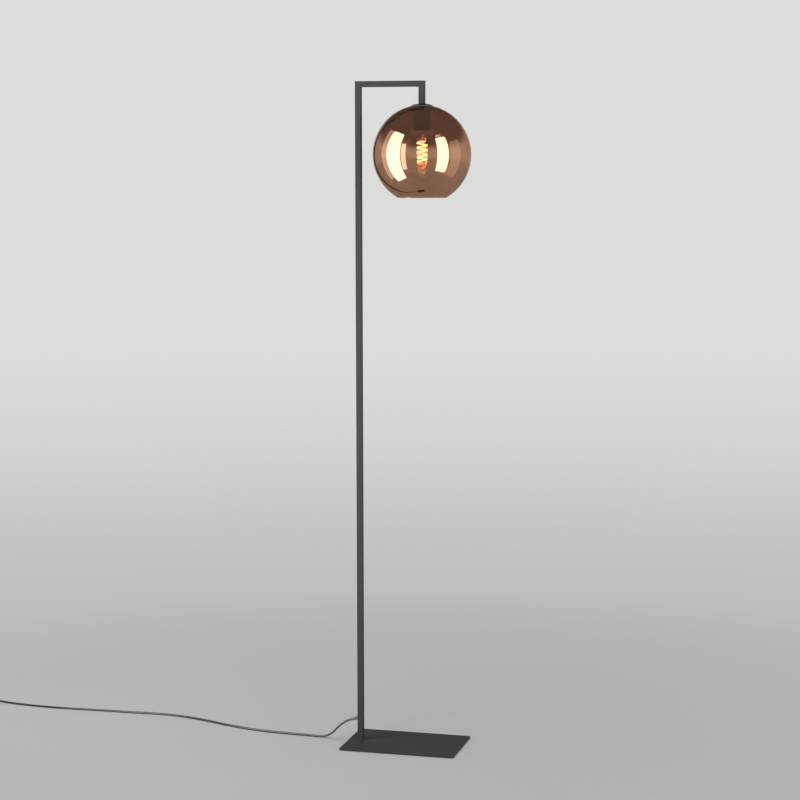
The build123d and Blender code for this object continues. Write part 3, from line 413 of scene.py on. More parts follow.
def cord_to_switch():
    root, tip, way = relief_tip()
    points = [tuple(tip), tuple(tip + way * EXIT_RUN)]
    points += [(POLE_X + x, y, z) for x, y, z in ROUTE_TO_SWITCH]
    points += [(BUSH_HIGH.x + SWITCH_RUN, SWITCH_Y, SWITCH_SPLIT), (BUSH_HIGH.x, SWITCH_Y, SWITCH_SPLIT)]
    cord = curve_through("cord_near", points, CORD_DIA)
    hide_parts("cord_to_switch")
    return cord, tip


def cord_to_plug():
    start = Vector((BUSH_LOW.x, SWITCH_Y, SWITCH_SPLIT))
    out, down, along = COIL_RUNS
    points = [tuple(start), (start.x - out, start.y, start.z)]
    points.append((start.x - out - down, SWITCH_Y - COIL_ASIDE, COIL_Z))
    points += coil_points()
    end_x, end_y, end_z = COIL_X + COIL_LEAD, COIL_Y - COIL_RADIUS, COIL_Z + COIL_STEP
    out, down, along = PLUG_RUNS
    points.append((end_x + out, end_y, end_z))
    points.append((end_x + out + down, PLUG_TIP.y, PLUG_TIP.z))
    points.append(tuple(PLUG_TIP))
    cord = curve_through("cord_far", points, CORD_DIA)
    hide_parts("cord_to_coil", "cord_coil", "cord_to_plug")
    return cord, start


# ---------------------------------------------------------------- materials
def opaque(colour):
    return colour if len(colour) == 4 else (*colour, 1.0)


class Nodes:
    """A small helper that builds one Principled material from nodes."""

    def __init__(self, name):
        self.material = bpy.data.materials.new(name)
        self.material.use_nodes = True
        self.tree = self.material.node_tree
        self.shader = self.tree.nodes["Principled BSDF"]
        self.coords = self.tree.nodes.new("ShaderNodeTexCoord").outputs["Object"]

    def node(self, kind, inputs=(), **settings):
        made = self.tree.nodes.new(kind)
        for key, value in settings.items():
            setattr(made, key, value)
        for socket, value in dict(inputs).items():
            if isinstance(value, bpy.types.NodeSocket):
                self.tree.links.new(value, made.inputs[socket])
            else:
                made.inputs[socket].default_value = value
        return made

    def set(self, **values):
        for name, value in values.items():
            socket = self.shader.inputs[name.replace("_", " ")]
            if isinstance(value, bpy.types.NodeSocket):
                self.tree.links.new(value, socket)
            else:
                socket.default_value = value

    def stretched(self, stretch):
        return self.node("ShaderNodeMapping", {"Vector": self.coords, "Scale": stretch}).outputs[0]

    def noise(self, scale, detail=3.0, rough=0.55, stretch=None):
        """Noise from 0 to 1; scale is the number of grains in a metre."""
        vector = self.stretched(stretch) if stretch else self.coords
        inputs = {"Vector": vector, "Scale": scale, "Detail": detail, "Roughness": rough}
        return self.node("ShaderNodeTexNoise", inputs).outputs["Fac"]

    def cells(self, scale):
        made = self.node("ShaderNodeTexVoronoi", {"Vector": self.coords, "Scale": scale})
        return made.outputs["Distance"]

    def ranged(self, value, low, high, from_low=0.3, from_high=0.7):
        inputs = {0: value, 1: from_low, 2: from_high, 3: low, 4: high}
        return self.node("ShaderNodeMapRange", inputs).outputs[0]

    def mixed(self, value, first, second):
        made = self.tree.nodes.new("ShaderNodeMix")
        made.data_type = "RGBA"
        self.tree.links.new(value, made.inputs["Factor"])
        for socket, colour in (("A", first), ("B", second)):
            slot = next(s for s in made.inputs if s.name == socket and s.type == "RGBA")
            if isinstance(colour, bpy.types.NodeSocket):
                self.tree.links.new(colour, slot)
            else:
                slot.default_value = opaque(colour)
        return next(s for s in made.outputs if s.type == "RGBA")

    def bump(self, height, distance, strength=1.0, under=None):
        inputs = {"Height": height, "Distance": distance, "Strength": strength}
        if under:
            inputs["Normal"] = under
        return self.node("ShaderNodeBump", inputs).outputs[0]


def shade(colour, factor):
    return tuple(min(1.0, c * factor) for c in colour[:3])


def powder_coat(n, colour):
    """Fine-grained matt powder coat with soft orange peel and faint handling marks."""
    grain = n.cells(1100)
    peel = n.noise(320, 4)
    marks = n.noise(9, 5, 0.6)
    tone = n.mixed(n.ranged(marks, 0, 1), shade(colour, 0.86), shade(colour, 1.16))
    speck = n.ranged(grain, 0.35, 0.0, 0.0, 0.45)
    n.set(Base_Color=n.mixed(speck, tone, shade(colour, 1.5)))
    n.set(Roughness=n.ranged(marks, 0.64, 0.78), Specular_IOR_Level=0.3)
    n.set(Normal=n.bump(grain, 0.00012, 0.7, n.bump(peel, 0.00014, 0.6)))


def satin_paint(n, colour):
    peel = n.noise(260, 3)
    marks = n.noise(40, 4)
    n.set(Base_Color=n.mixed(n.ranged(marks, 0, 1), shade(colour, 0.85), shade(colour, 1.2)))
    n.set(Roughness=n.ranged(marks, 0.6, 0.72), Specular_IOR_Level=0.12)
    n.set(Normal=n.bump(peel, 0.00004, 0.5))


def moulded(n, colour, rough=0.45, grain_size=1400, depth=0.00005):
    """Moulded plastic with a fine eroded grain."""
    grain = n.cells(grain_size)
    cloud = n.noise(55, 4)
    n.set(Base_Color=n.mixed(n.ranged(cloud, 0, 1), shade(colour, 0.85), shade(colour, 1.18)))
    n.set(Roughness=n.ranged(cloud, rough - 0.06, rough + 0.08))
    n.set(Normal=n.bump(grain, depth, 0.55))


def gloss(n, colour, rough=0.16):
    """Glossy moulded plastic with flow waves and hair scratches."""
    waves = n.noise(70, 2)
    hairs = n.noise(420, 2, 0.5, stretch=(1, 9, 1))
    n.set(Base_Color=n.mixed(n.ranged(waves, 0, 1), shade(colour, 0.85), shade(colour, 1.2)))
    n.set(Roughness=n.ranged(hairs, rough - 0.04, rough + 0.1))
    n.set(Normal=n.bump(waves, 0.00006, 0.25))


def cord_sheath(n, colour):
    """Glossy extruded flex with slow swells where it was wound, and dust in its sheen."""
    swell = n.noise(55, 3)
    dust = n.noise(700, 4, 0.7)
    n.set(Base_Color=n.mixed(n.ranged(dust, 0, 1, 0.5, 0.8), shade(colour, 0.9), shade(colour, 1.9)))
    n.set(Roughness=n.ranged(swell, 0.16, 0.3), Coat_Weight=0.35)
    n.set(Normal=n.bump(swell, 0.0002, 0.35))


def relief_nylon_painted_shade(n, colour):
    """Translucent grey nylon, painted 0.26 to 0.4 of its own grey as painted shade for the dim light at
    the lamp's foot, darker in the cloudy parts and duller where it was handled.
    """
    cloud = n.noise(180, 4, 0.6)
    grain = n.cells(1600)
    # Both ends of this mix are painted shade: the part's own grey is cut to 0.26 to 0.4 of itself for the
    # dim light at the lamp's foot.
    n.set(Base_Color=n.mixed(n.ranged(cloud, 0, 1), shade(colour, 0.26), shade(colour, 0.4)))
    n.set(Roughness=n.ranged(cloud, 0.42, 0.55), Specular_IOR_Level=0.35)
    n.set(Normal=n.bump(grain, 0.00005, 0.5))


def rubber(n, colour):
    grain = n.noise(900, 5, 0.7)
    n.set(Base_Color=n.mixed(n.ranged(grain, 0, 1), shade(colour, 0.7), shade(colour, 1.3)))
    n.set(Roughness=n.ranged(grain, 0.65, 0.85))
    n.set(Normal=n.bump(grain, 0.00008, 0.6))


def plated(n, colour, rough=0.22, stretch=(1, 1, 14)):
    """Plated or drawn metal: fine draw lines and faint stains."""
    lines = n.noise(650, 3, 0.6, stretch=stretch)
    stains = n.noise(90, 4)
    n.set(Base_Color=n.mixed(n.ranged(stains, 0, 1), shade(colour, 0.82), shade(colour, 1.08)))
    n.set(Roughness=n.ranged(lines, rough - 0.08, rough + 0.12), Metallic=1.0)
    n.set(Normal=n.bump(lines, 0.00002, 0.35))


def ceramic(n, colour):
    grain = n.noise(600, 6, 0.7)
    specks = n.cells(500)
    n.set(Base_Color=n.mixed(n.ranged(specks, 0.3, 0, 0, 0.3), shade(colour, 1.0), shade(colour, 0.6)))
    n.set(Roughness=n.ranged(grain, 0.55, 0.75), Normal=n.bump(grain, 0.00008, 0.5))


def circuit_board(n, colour):
    """Green lacquer over copper tracks."""
    tracks = n.node("ShaderNodeTexBrick", {"Vector": n.coords, "Scale": 420.0, "Mortar Size": 0.03})
    cloud = n.noise(300, 3)
    tone = n.mixed(n.ranged(cloud, 0, 1), shade(colour, 0.8), shade(colour, 1.2))
    n.set(Base_Color=n.mixed(tracks.outputs["Fac"], tone, shade(colour, 2.2)))
    n.set(Roughness=n.ranged(cloud, 0.25, 0.4), Normal=n.bump(tracks.outputs["Fac"], 0.00006, 0.6))


def copper_glass(n, colour):
    """Blown glass with a vacuum-laid copper mirror coat that lets some light through."""
    drift = n.noise(14, 3, 0.5)
    swirl = n.noise(22, 2, 0.4, stretch=(1, 1, 0.35))
    n.set(Base_Color=n.mixed(n.ranged(drift, 0, 1), shade(colour, 0.93), shade(colour, 1.07)))
    n.set(Roughness=n.ranged(drift, 0.0, 0.015), Metallic=0.48, Transmission_Weight=1.0, IOR=1.5)
    n.set(Specular_Tint=(0.48, 0.27, 0.16, 1.0))
    n.set(Normal=n.bump(swirl, 0.0004, 0.12))


def clear_glass(n, colour, depth=0.0002):
    swirl = n.noise(30, 2, 0.4)
    n.set(Base_Color=n.mixed(n.ranged(swirl, 0, 1), shade(colour, 0.97), shade(colour, 1.02)))
    n.set(Roughness=n.ranged(swirl, 0.0, 0.02), Transmission_Weight=1.0, IOR=1.48)
    n.set(Normal=n.bump(swirl, depth, 0.1))


def glowing(n, colour):
    """A lit filament: amber phosphor over a row of bright chips, dim and orange in its last turn."""
    chips = n.cells(450)
    spot = n.ranged(chips, 1.0, 0.0, 0.0, 0.6)
    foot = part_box("bulb_filament")[0].z
    height = n.node("ShaderNodeSeparateXYZ", {0: n.coords}).outputs["Z"]
    lit = n.ranged(height, 0.0, 1.0, foot + FILAMENT_PITCH * 0.4, foot + FILAMENT_PITCH * 1.1)
    n.set(Base_Color=n.mixed(spot, shade(colour, 0.7), shade(colour, 1.0)), Roughness=0.5)
    bright = n.mixed(spot, (0.9, 0.58, 0.34), (1.0, 0.75, 0.52))
    n.set(Emission_Color=n.mixed(lit, (0.15, 0.045, 0.009), bright), Emission_Strength=FILAMENT_GLOW)


def strap(n, colour):
    """Woven hook-and-loop strap."""
    weave = n.node("ShaderNodeTexWave", {"Vector": n.coords, "Scale": 260.0, "Distortion": 1.5})
    cross = n.node(
        "ShaderNodeTexWave", {"Vector": n.coords, "Scale": 260.0, "Distortion": 1.5}, bands_direction="Y"
    )
    fuzz = n.noise(1500, 4, 0.7)
    n.set(Base_Color=n.mixed(weave.outputs["Fac"], shade(colour, 0.6), shade(colour, 1.6)))
    n.set(Roughness=n.ranged(fuzz, 0.75, 0.95), Sheen_Weight=0.25)
    under = n.bump(weave.outputs["Fac"], 0.0002, 0.6)
    n.set(Normal=n.bump(cross.outputs["Fac"], 0.0002, 0.6, under))


RECIPES = {
    "frame_coat": powder_coat, "pad_felt": rubber, "screw_steel": plated, "foot_steel": plated,
    "relief_plastic": relief_nylon_painted_shade, "cord_sheath": cord_sheath, "lead_sheath": moulded,
    "core_brown": gloss, "core_blue": gloss, "nipple_zinc": plated, "cap_coat": satin_paint,
    "seal_clear": rubber, "shade_glass": copper_glass, "holder_plastic": gloss,
    "holder_ceramic": ceramic, "contact_brass": plated, "bulb_metal": plated,
    "tip_solder": plated, "insulator_glass": gloss, "bulb_clear": clear_glass,
    "stem_clear": clear_glass, "driver_board": circuit_board, "filament_lit": glowing,
    "wire_nickel": plated, "tie_plastic": strap, "switch_plastic": moulded,
    "button_plastic": gloss, "block_plastic": moulded, "spring_steel": plated,
    "bush_rubber": rubber, "plug_plastic": moulded, "pin_nickel": plated,
}
COLOURS = {m["slot"]: m["base_color"] for m in frame["record"]["materials"]}
FINISHES = {}


def finish_for(slot):
    if slot not in FINISHES:
        nodes = Nodes(slot)
        RECIPES[slot](nodes, COLOURS[slot])
        FINISHES[slot] = nodes.material
    return FINISHES[slot]


def dress(piece, slot, body, *replaced):
    """Gives a new piece its finish and its body, and hides the CAD nodes that it stands for."""
    piece.data.materials.append(finish_for(slot))
    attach(piece, body)
    if replaced:
        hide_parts(*replaced)
    return piece


def dress_cad_nodes():
    for part in frame["record"]["subparts"]:
        node = frame["nodes"][part["node"]]
        node.data.materials.clear()
        node.data.materials.append(finish_for(part["material_slot"]))


# ---------------------------------------------------------------- shade and lampholder
def shade_glass():
    """The globe as one closed shell, with a ground seat above and a fire-polished mouth."""
    radius = (GLASS_HIGH.x - GLASS_LOW.x) / 2
    inner = radius - GLASS_WALL
    centre_z = GLASS_HIGH.z - sqrt(radius**2 - SEAT_RADIUS**2)
    mouth = centre_z - GLASS_LOW.z
    seat = sqrt(radius**2 - SEAT_RADIUS**2)
    outer_top = degrees(acos(SEAT_RADIUS / radius))
    outer_low = -degrees(asin((mouth - GLASS_LIP) / radius))
    inner_low = -degrees(asin((mouth - GLASS_LIP) / inner))
    inner_top = degrees(acos(NECK_HOLE / inner))
    profile = arc(0, 0, radius, outer_top, outer_low, 96)
    lip_out = radius * cos(radians(outer_low)) - GLASS_LIP
    lip_in = inner * cos(radians(inner_low)) + GLASS_LIP
    profile += arc(lip_out, GLASS_LIP - mouth, GLASS_LIP, -35, -90, 4)
    profile += arc(lip_in, GLASS_LIP - mouth, GLASS_LIP, -90, -145, 4)
    profile += arc(0, 0, inner, inner_low, inner_top, 96)
    profile += [(NECK_HOLE, seat)]
    globe = turned("globe", profile, (DROP_X, 0, centre_z), segments=192)
    return dress(globe, "shade_glass", "frame", "glass_shade")


def bulb_glass():
    """Thin envelope: a round belly under an S-shaped shoulder."""
    belly_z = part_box("bulb_glass")[0].z + BULB_RADIUS
    half = (BULB_RADIUS - BULB_NECK) / 2
    bend = (half**2 + (BULB_SHOULDER / 2) ** 2) / (2 * half)
    sweep = degrees(asin(BULB_SHOULDER / 2 / bend))

    def outline(inset):
        under = arc(0, 0, BULB_RADIUS - inset, -90, 0, 32)
        lower = arc(BULB_RADIUS - bend, 0, bend - inset, 0, sweep, 14)[1:]
        upper = arc(BULB_NECK + bend, BULB_SHOULDER, bend + inset, 180 + sweep, 180, 14)[1:]
        return under + lower + upper

    profile = outline(0) + outline(BULB_WALL)[::-1]
    bulb = turned("bulb_envelope", profile, (DROP_X, 0, belly_z), segments=128, sharp=60)
    return dress(bulb, "bulb_clear", "bulb", "bulb_glass")


def bulb_cap():
    """Screw cap with its rolled thread."""
    low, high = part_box("bulb_cap")
    radius = (high.x - low.x) / 2
    height = high.z - low.z
    inner = radius - THREAD_DEPTH - CAP_WALL
    profile = wall(radius, 0, height - CAP_SHOULDER, CAP_ROWS)
    profile += [(CAP_TOP_RADIUS, height), (CAP_TOP_RADIUS - CAP_WALL, height)]
    profile += [(inner, height - CAP_SHOULDER), (inner, 0)]
    thread_end = high.z - CAP_SHOULDER - CAP_PLAIN_TOP
    cut = thread(low.z + CAP_PLAIN_FOOT, thread_end, THREAD_DEPTH, upper=1.0)

    def shape(r, z, angle):
        return cut(r, low.z + z, angle) if r == radius else r

    cap = turned("bulb_screw_cap", profile, (DROP_X, 0, low.z), segments=96, shape=shape, sharp=60)
    return dress(cap, "bulb_metal", "bulb", "bulb_cap")


def holder_sleeve():
    """Contact sleeve whose thread runs with the bulb's all round."""
    low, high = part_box("holder_sleeve")
    outer = (high.x - low.x) / 2
    bore = outer - SLEEVE_WALL
    height = high.z - low.z
    profile = wall(outer, 0, height, SLEEVE_ROWS) + [(bore - SLEEVE_FLANGE, height)]
    profile += [(bore - SLEEVE_FLANGE, height - SLEEVE_WALL)]
    profile += wall(bore, 0, height - SLEEVE_WALL, SLEEVE_ROWS)[::-1]
    cut = thread(low.z, high.z - SLEEVE_PLAIN_TOP, THREAD_DEPTH)

    def shape(r, z, angle):
        return cut(r, low.z + z, angle) if r >= bore else r

    sleeve = turned("threaded_sleeve", profile, (DROP_X, 0, low.z), segments=96, shape=shape, sharp=60)
    return dress(sleeve, "contact_brass", "frame", "holder_sleeve")


def holder_shell():
    """Lampholder's shell: threaded for the shade ring below, fluted for the fingers above."""
    low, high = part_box("holder_shell")
    outer = (high.x - low.x) / 2
    bore = outer - HOLDER_WALL
    height = high.z - low.z
    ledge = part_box("holder_core")[0].z - low.z
    profile = wall(outer, 0, height, SHELL_ROWS)
    profile += [(bore, height), (bore, ledge), (bore - LEDGE_WIDTH, ledge)]
    profile += [(bore - LEDGE_WIDTH, ledge - LEDGE_THICK), (bore, ledge - LEDGE_THICK), (bore, 0)]
    threaded = height * SHELL_THREADED_SHARE
    cut = thread(SHELL_PLAIN_FOOT, threaded, SHELL_THREAD, pitch=SHELL_PITCH)

    def shape(r, z, angle):
        if r < outer or z in (0, height):
            return r
        if threaded < z < height - SHELL_PLAIN_TOP:
            return toothed(r, angle, SHELL_FLUTES, SHELL_THREAD)
        return cut(r, z, angle)

    shell = turned("lampholder_shell", profile, (DROP_X, 0, low.z), segments=192, shape=shape, sharp=50)
    return dress(shell, "holder_plastic", "frame", "holder_shell")


def shade_ring():
    """Clamping ring with a toothed collar and a bevelled flange."""
    low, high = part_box("shade_ring")
    flange = (high.x - low.x) / 2
    height = high.z - low.z
    bore = (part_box("holder_shell")[1].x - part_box("holder_shell")[0].x) / 2 + RING_FIT
    collar = bore + RING_COLLAR_WALL
    foot = height - RING_FLANGE
    profile = [(bore, 0), (collar - RING_BEVEL, 0), (collar, RING_BEVEL)]
    profile += wall(collar, RING_TEETH_FROM, foot, RING_ROWS)
    profile += [(flange - RING_FLANGE_BEVEL, foot), (flange, foot + RING_FLANGE_BEVEL)]
    profile += [(flange, height), (bore, height)]

    def shape(r, z, angle):
        return toothed(r, angle, RING_TEETH, RING_TOOTH) if r == collar else r

    ring = turned("ring_with_teeth", profile, (DROP_X, 0, low.z), segments=384, shape=shape)
    return dress(ring, "holder_plastic", "frame", "shade_ring")


def filament():
    """Soft spiral filament in one smooth line."""
    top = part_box("bulb_stem")[0].z - FILAMENT_BELOW_STEM
    points = []
    for k in range(round(FILAMENT_TURNS * PER_TURN) + 1):
        turn = k / PER_TURN
        angle = FILAMENT_FIRST + tau * turn
        radius = outside(FILAMENT_COIL, PER_TURN)
        points.append((DROP_X + radius * cos(angle), radius * sin(angle), top - FILAMENT_PITCH * turn))
    return dress(curve_through("filament", points, FILAMENT_DIA), "filament_lit", "bulb", "bulb_filament")


# ---------------------------------------------------------------- cord exit
def strain_relief():
    """Snap-in collar in the upright's wall and a ribbed, drooping tail."""
    root, tip, way = relief_tip()
    bore = CORD_DIA / 2 + CORD_BORE_FIT
    flange = RELIEF_FLANGE_DIA / 2
    barrel = RELIEF_BARREL_DIA / 2
    lip = RELIEF_LIP_DIA / 2
    collar = [(bore, -TUBE_WALL - RELIEF_LIP), (lip - RELIEF_EDGE, -TUBE_WALL - RELIEF_LIP)]
    collar += [(lip, -TUBE_WALL - RELIEF_EDGE), (lip, -TUBE_WALL), (barrel, -TUBE_WALL), (barrel, 0)]
    collar += [(flange, 0)] + arc(flange - RELIEF_EDGE, RELIEF_FLANGE - RELIEF_EDGE, RELIEF_EDGE, 0, 90, 5)
    collar += [(bore, RELIEF_FLANGE)]
    at_wall = root + Vector((RELIEF_FLANGE, 0, 0))
    made = turned("relief_collar", collar, at_wall, (-1, 0, 0), segments=64)
    dress(made, "relief_plastic", "frame", "strain_relief")

    tail = [(bore, -RELIEF_FLANGE / 2), (RELIEF_ROOT_DIA / 2, -RELIEF_FLANGE / 2)]
    tail += ribbed(0, RELIEF_TAIL, RELIEF_ROOT_DIA / 2, RELIEF_TIP_DIA / 2, RELIEF_RIBS, RELIEF_GROOVE)
    tail += [(bore, RELIEF_TAIL)]
    made = turned("relief_tail", tail, root, way, segments=64)
    return dress(made, "relief_plastic", "frame")


# ---------------------------------------------------------------- foot switch
def reach(half_x, half_y, corner, angle):
    """Distance from the middle of a rounded rectangle to its outline, in one direction."""
    c, s = abs(cos(angle)), abs(sin(angle))
    straight_x, straight_y = half_x - corner, half_y - corner
    if half_x * s <= straight_y * c:
        return half_x / c
    if half_y * c <= straight_x * s:
        return half_y / s
    along = straight_x * c + straight_y * s
    return along + sqrt(along**2 - straight_x**2 - straight_y**2 + corner**2)


def switch_cover():
    """Upper half of the case, with a bevelled seam and a raised collar round the button."""
    half_x, half_y = (SWITCH_HIGH.x - SWITCH_LOW.x) / 2, (SWITCH_HIGH.y - SWITCH_LOW.y) / 2
    height = SWITCH_HIGH.z - SWITCH_LOW.z
    button_low, button_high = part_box("switch_button")
    hole = (button_high.x - button_low.x) / 2 - BUTTON_FLANGE + BUTTON_FIT
    ring = hole + COLLAR_WIDTH
    case = [(half_y - SWITCH_WALL, 0), (half_y - SWITCH_SEAM, 0), (half_y, SWITCH_SEAM)]
    case += arc(half_y - SWITCH_EDGE, height - SWITCH_EDGE, SWITCH_EDGE, 0, 90, 10)
    collar = [(ring + COLLAR_RISE, height)]
    collar += arc(ring - COLLAR_RISE / 2, height + COLLAR_RISE / 2, COLLAR_RISE / 2, 0, 90, 4)
    collar += [(hole, height + COLLAR_RISE), (hole, height - SWITCH_WALL)]
    profile = case + collar + [(half_y - SWITCH_WALL, height - SWITCH_WALL)]
    on_case = {r for r, z in case} | {half_y - SWITCH_WALL}

    def shape(r, z, angle):
        if r not in on_case:
            return r
        inset = half_y - r
        return reach(half_x - inset, r, SWITCH_CORNER - inset, angle)

    at = (SWITCH_MID.x, SWITCH_Y, SWITCH_LOW.z)
    cover = turned("case_cover", profile, at, segments=256, shape=shape, sharp=40)
    return dress(cover, "switch_plastic", "frame", "switch_cover")


def switch_button():
    """Round button with concentric grip rings in a slightly dished top."""
    low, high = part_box("switch_button")
    centre = (low + high) / 2
    top = high.z - low.z
    flange = (high.x - low.x) / 2
    radius = flange - BUTTON_FLANGE
    inner = radius - BUTTON_SHELL
    flange_top = SWITCH_HIGH.z - SWITCH_WALL - BUTTON_FIT - low.z
    flange_foot = flange_top - BUTTON_FLANGE_THICK
    profile = [(inner, flange_foot), (flange, flange_foot), (flange, flange_top), (radius, flange_top)]
    profile += arc(radius - BUTTON_EDGE, top - BUTTON_EDGE, BUTTON_EDGE, 0, 90, 8)
    steps = BUTTON_RINGS * 12
    for i in range(1, steps):
        share = i / steps
        ripple = 0.5 - 0.5 * cos(tau * BUTTON_RINGS * share)
        dish = BUTTON_GROOVE * share * (2 - share)
        profile.append(((radius - BUTTON_EDGE) * (1 - share), top - dish - BUTTON_GROOVE * ripple))
    profile += [(0, top - BUTTON_GROOVE), (0, 0), (BUTTON_STEM_RADIUS, 0)]
    profile += [(BUTTON_STEM_RADIUS, top - BUTTON_SHELL), (inner, top - BUTTON_SHELL)]
    button = turned("foot_button", profile, (centre.x, centre.y, low.z), segments=128, sharp=40)
    return dress(button, "button_plastic", "switch_button", "switch_button")


def return_spring():
    """Coil spring with closed ends."""
    low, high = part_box("switch_spring")
    radius = outside((high.x - low.x - SPRING_WIRE) / 2, PER_TURN)
    centre = (low + high) / 2
    foot = low.z + SPRING_WIRE / 2
    rise = high.z - low.z - SPRING_WIRE
    points = []
    for k in range(round(SPRING_TURNS * PER_TURN) + 1):
        turn = k / PER_TURN
        climbed = (turn - SPRING_DEAD_TURNS) / (SPRING_TURNS - 2 * SPRING_DEAD_TURNS)
        height = foot + rise * min(max(climbed, 0), 1)
        points.append((centre.x + radius * cos(tau * turn), centre.y + radius * sin(tau * turn), height))
    wire = curve_through("spring_wire", points, SPRING_WIRE)
    spring = add("return_spring", bpy.data.meshes.new_from_object(wire))
    bpy.data.objects.remove(wire)
    smooth(spring.data)
    dress(spring, "spring_steel", "frame", "switch_spring")
    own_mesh(spring)
    return spring


def switch_bushes():
    """Ribbed cord bushes at both ends of the switch."""
    made = []
    base_low, base_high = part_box("switch_base")
    for side, face in ((1, base_high.x), (-1, base_low.x)):
        length = (BUSH_HIGH.x - base_high.x) if side > 0 else (base_low.x - BUSH_LOW.x)
        profile = [(0, -BUSH_INSIDE), (BUSH_RADIUS, -BUSH_INSIDE)]
        profile += ribbed(0, length, BUSH_RADIUS, BUSH_TIP_RADIUS, BUSH_RIBS, BUSH_GROOVE)
        profile += [(0, length)]
        name = "bush_near" if side > 0 else "bush_far"
        bush = turned(name, profile, (face, SWITCH_Y, SWITCH_SPLIT), (side, 0, 0), segments=64)
        made.append(dress(bush, "bush_rubber", "frame", "switch_bushes"))
    return made


# ---------------------------------------------------------------- plug
def plug_station(x, length):
    """Section of the plug at a distance from its strain relief's tip."""
    if x <= PLUG_RELIEF:
        radius = PLUG_RELIEF_TIP + (PLUG_RELIEF_ROOT - PLUG_RELIEF_TIP) * x / PLUG_RELIEF
        ribs = 0.5 - 0.5 * cos(tau * PLUG_RIBS * x / PLUG_RELIEF)
        radius -= PLUG_GROOVE * min(1.0, 2 * x / PLUG_RELIEF) * ribs**2
        return x, radius, radius, 2.0
    widest = (PLUG_HIGH.y - PLUG_LOW.y) / 2
    tall = PLUG_HIGH.z / 2
    swell = length - PLUG_SHOULDER
    if x < swell:
        wide = PLUG_TAIL + (widest - PLUG_TAIL) * (x - PLUG_RELIEF) / (swell - PLUG_RELIEF)
    else:
        wide = widest + (PLUG_FACE - widest) * (x - swell) / PLUG_SHOULDER
    grip = (x - PLUG_GRIP_FROM) / (PLUG_GRIP_TO - PLUG_GRIP_FROM)
    if 0 < grip < 1:
        groove = PLUG_GRIP_GROOVE * (0.5 - 0.5 * cos(tau * PLUG_GRIP_RIBS * grip)) ** 2
        wide, tall = wide - groove, tall - groove
    for inside in (x - PLUG_RELIEF, length - x):
        if inside < PLUG_EDGE:
            pulled = PLUG_EDGE - sqrt(PLUG_EDGE**2 - (PLUG_EDGE - inside) ** 2)
            wide, tall = wide - pulled, tall - pulled
    return x, wide, tall, PLUG_SQUARENESS


def plug():
    """Flat two-pin plug: ribbed relief, finger grips, and pins with insulating sleeves."""
    length = PLUG_HIGH.x - PLUG_LOW.x
    steps = range(PLUG_SECTIONS + 1)
    stations = [plug_station(length * i / PLUG_SECTIONS, length) for i in steps]
    body = dress(lofted("plug_moulding", stations, PLUG_TIP), "plug_plastic", "frame", "plug_body")
    pin = [(0, -PIN_IN_BODY), (PIN_ROOT_RADIUS, -PIN_IN_BODY), (PIN_ROOT_RADIUS, PIN_SLEEVE)]
    pin += [(PIN_RADIUS, PIN_SLEEVE)]
    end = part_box("plug_pins")[1].x - PLUG_HIGH.x
    pin += arc(PIN_RADIUS - PIN_TIP, end - PIN_TIP, PIN_TIP, 0, 90, 8) + [(0, end)]
    across, along = PIN_SLEEVE_BEVEL
    sleeve = [(PIN_ROOT_RADIUS, 0), (PIN_RADIUS, 0), (PIN_RADIUS, PIN_SLEEVE - along)]
    sleeve += [(PIN_RADIUS - across, PIN_SLEEVE), (PIN_ROOT_RADIUS, PIN_SLEEVE)]
    made = [body]
    for side, name in ((-1, "right"), (1, "left")):
        at = (PLUG_HIGH.x, PLUG_TIP.y + side * PIN_SPACING / 2, PLUG_TIP.z)
        metal = turned(f"pin_{name}", pin, at, (1, 0, 0), segments=48)
        made.append(dress(metal, "pin_nickel", "frame", "plug_pins"))
        cover = turned(f"pin_sleeve_{name}", sleeve, at, (1, 0, 0), segments=48)
        made.append(dress(cover, "plug_plastic", "frame"))
    return made


# ---------------------------------------------------------------- stage and light
FLOOR_COLOUR = (0.74, 0.74, 0.73)
FLOOR_RADIUS = 1.7
FLOOR_FADES_FROM = 0.25
WORLD_FOOT = (0.50, 0.50, 0.49)
WORLD_COLOUR = (0.72, 0.72, 0.71)
WORLD_TOP = (0.15, 0.15, 0.155)
WORLD_REACH = 0.5
WORLD_RAMP = ((0.27, WORLD_FOOT), (0.42, WORLD_COLOUR), (0.64, WORLD_COLOUR), (0.92, WORLD_TOP))
WASH_SIZE = (4.0, 3.6)
WASH_AT = (-0.4, 0, 3.2)
WASH_BRIGHTNESS = 1.1
# Each softbox's name, bearing in degrees to the camera's right as seen from the globe, distance from
# the globe's axis, size, height of its middle and brightness.
SOFTBOXES = (
    ("softbox_left", -69, 1.1, (0.73, 2.31), 1.175, 4.6),
    ("softbox_right", 49, 1.6, (0.80, 2.3), 1.34, 4.6),
    ("left_spill", -96, 1.35, (0.40, 2.2), 1.33, 0.75),
    ("left_fill", -43, 1.35, (0.26, 1.37), 1.21, 2.4),
    ("right_fill", 84, 1.6, (0.90, 1.95), 1.08, 0.34),
    ("right_flap", 45, 1.6, (0.45, 0.26), 2.66, 1.0),
)
OFF_THE_FLOOR = ("softbox_left", "softbox_right")


def floor():
    made = turned("floor", [(0, 0), (FLOOR_RADIUS, 0)], segments=128, closed=False)
    n = Nodes("floor")
    cloud = n.noise(1.5, 4)
    n.set(Base_Color=n.mixed(n.ranged(cloud, 0, 1), shade(FLOOR_COLOUR, 0.985), FLOOR_COLOUR))
    n.set(Roughness=0.9, Specular_IOR_Level=0.1)
    distance = n.node("ShaderNodeVectorMath", {0: n.coords}, operation="LENGTH").outputs["Value"]
    n.set(Alpha=n.ranged(distance, 1.0, 0.0, FLOOR_FADES_FROM, FLOOR_RADIUS))
    made.data.materials.append(n.material)
    return made


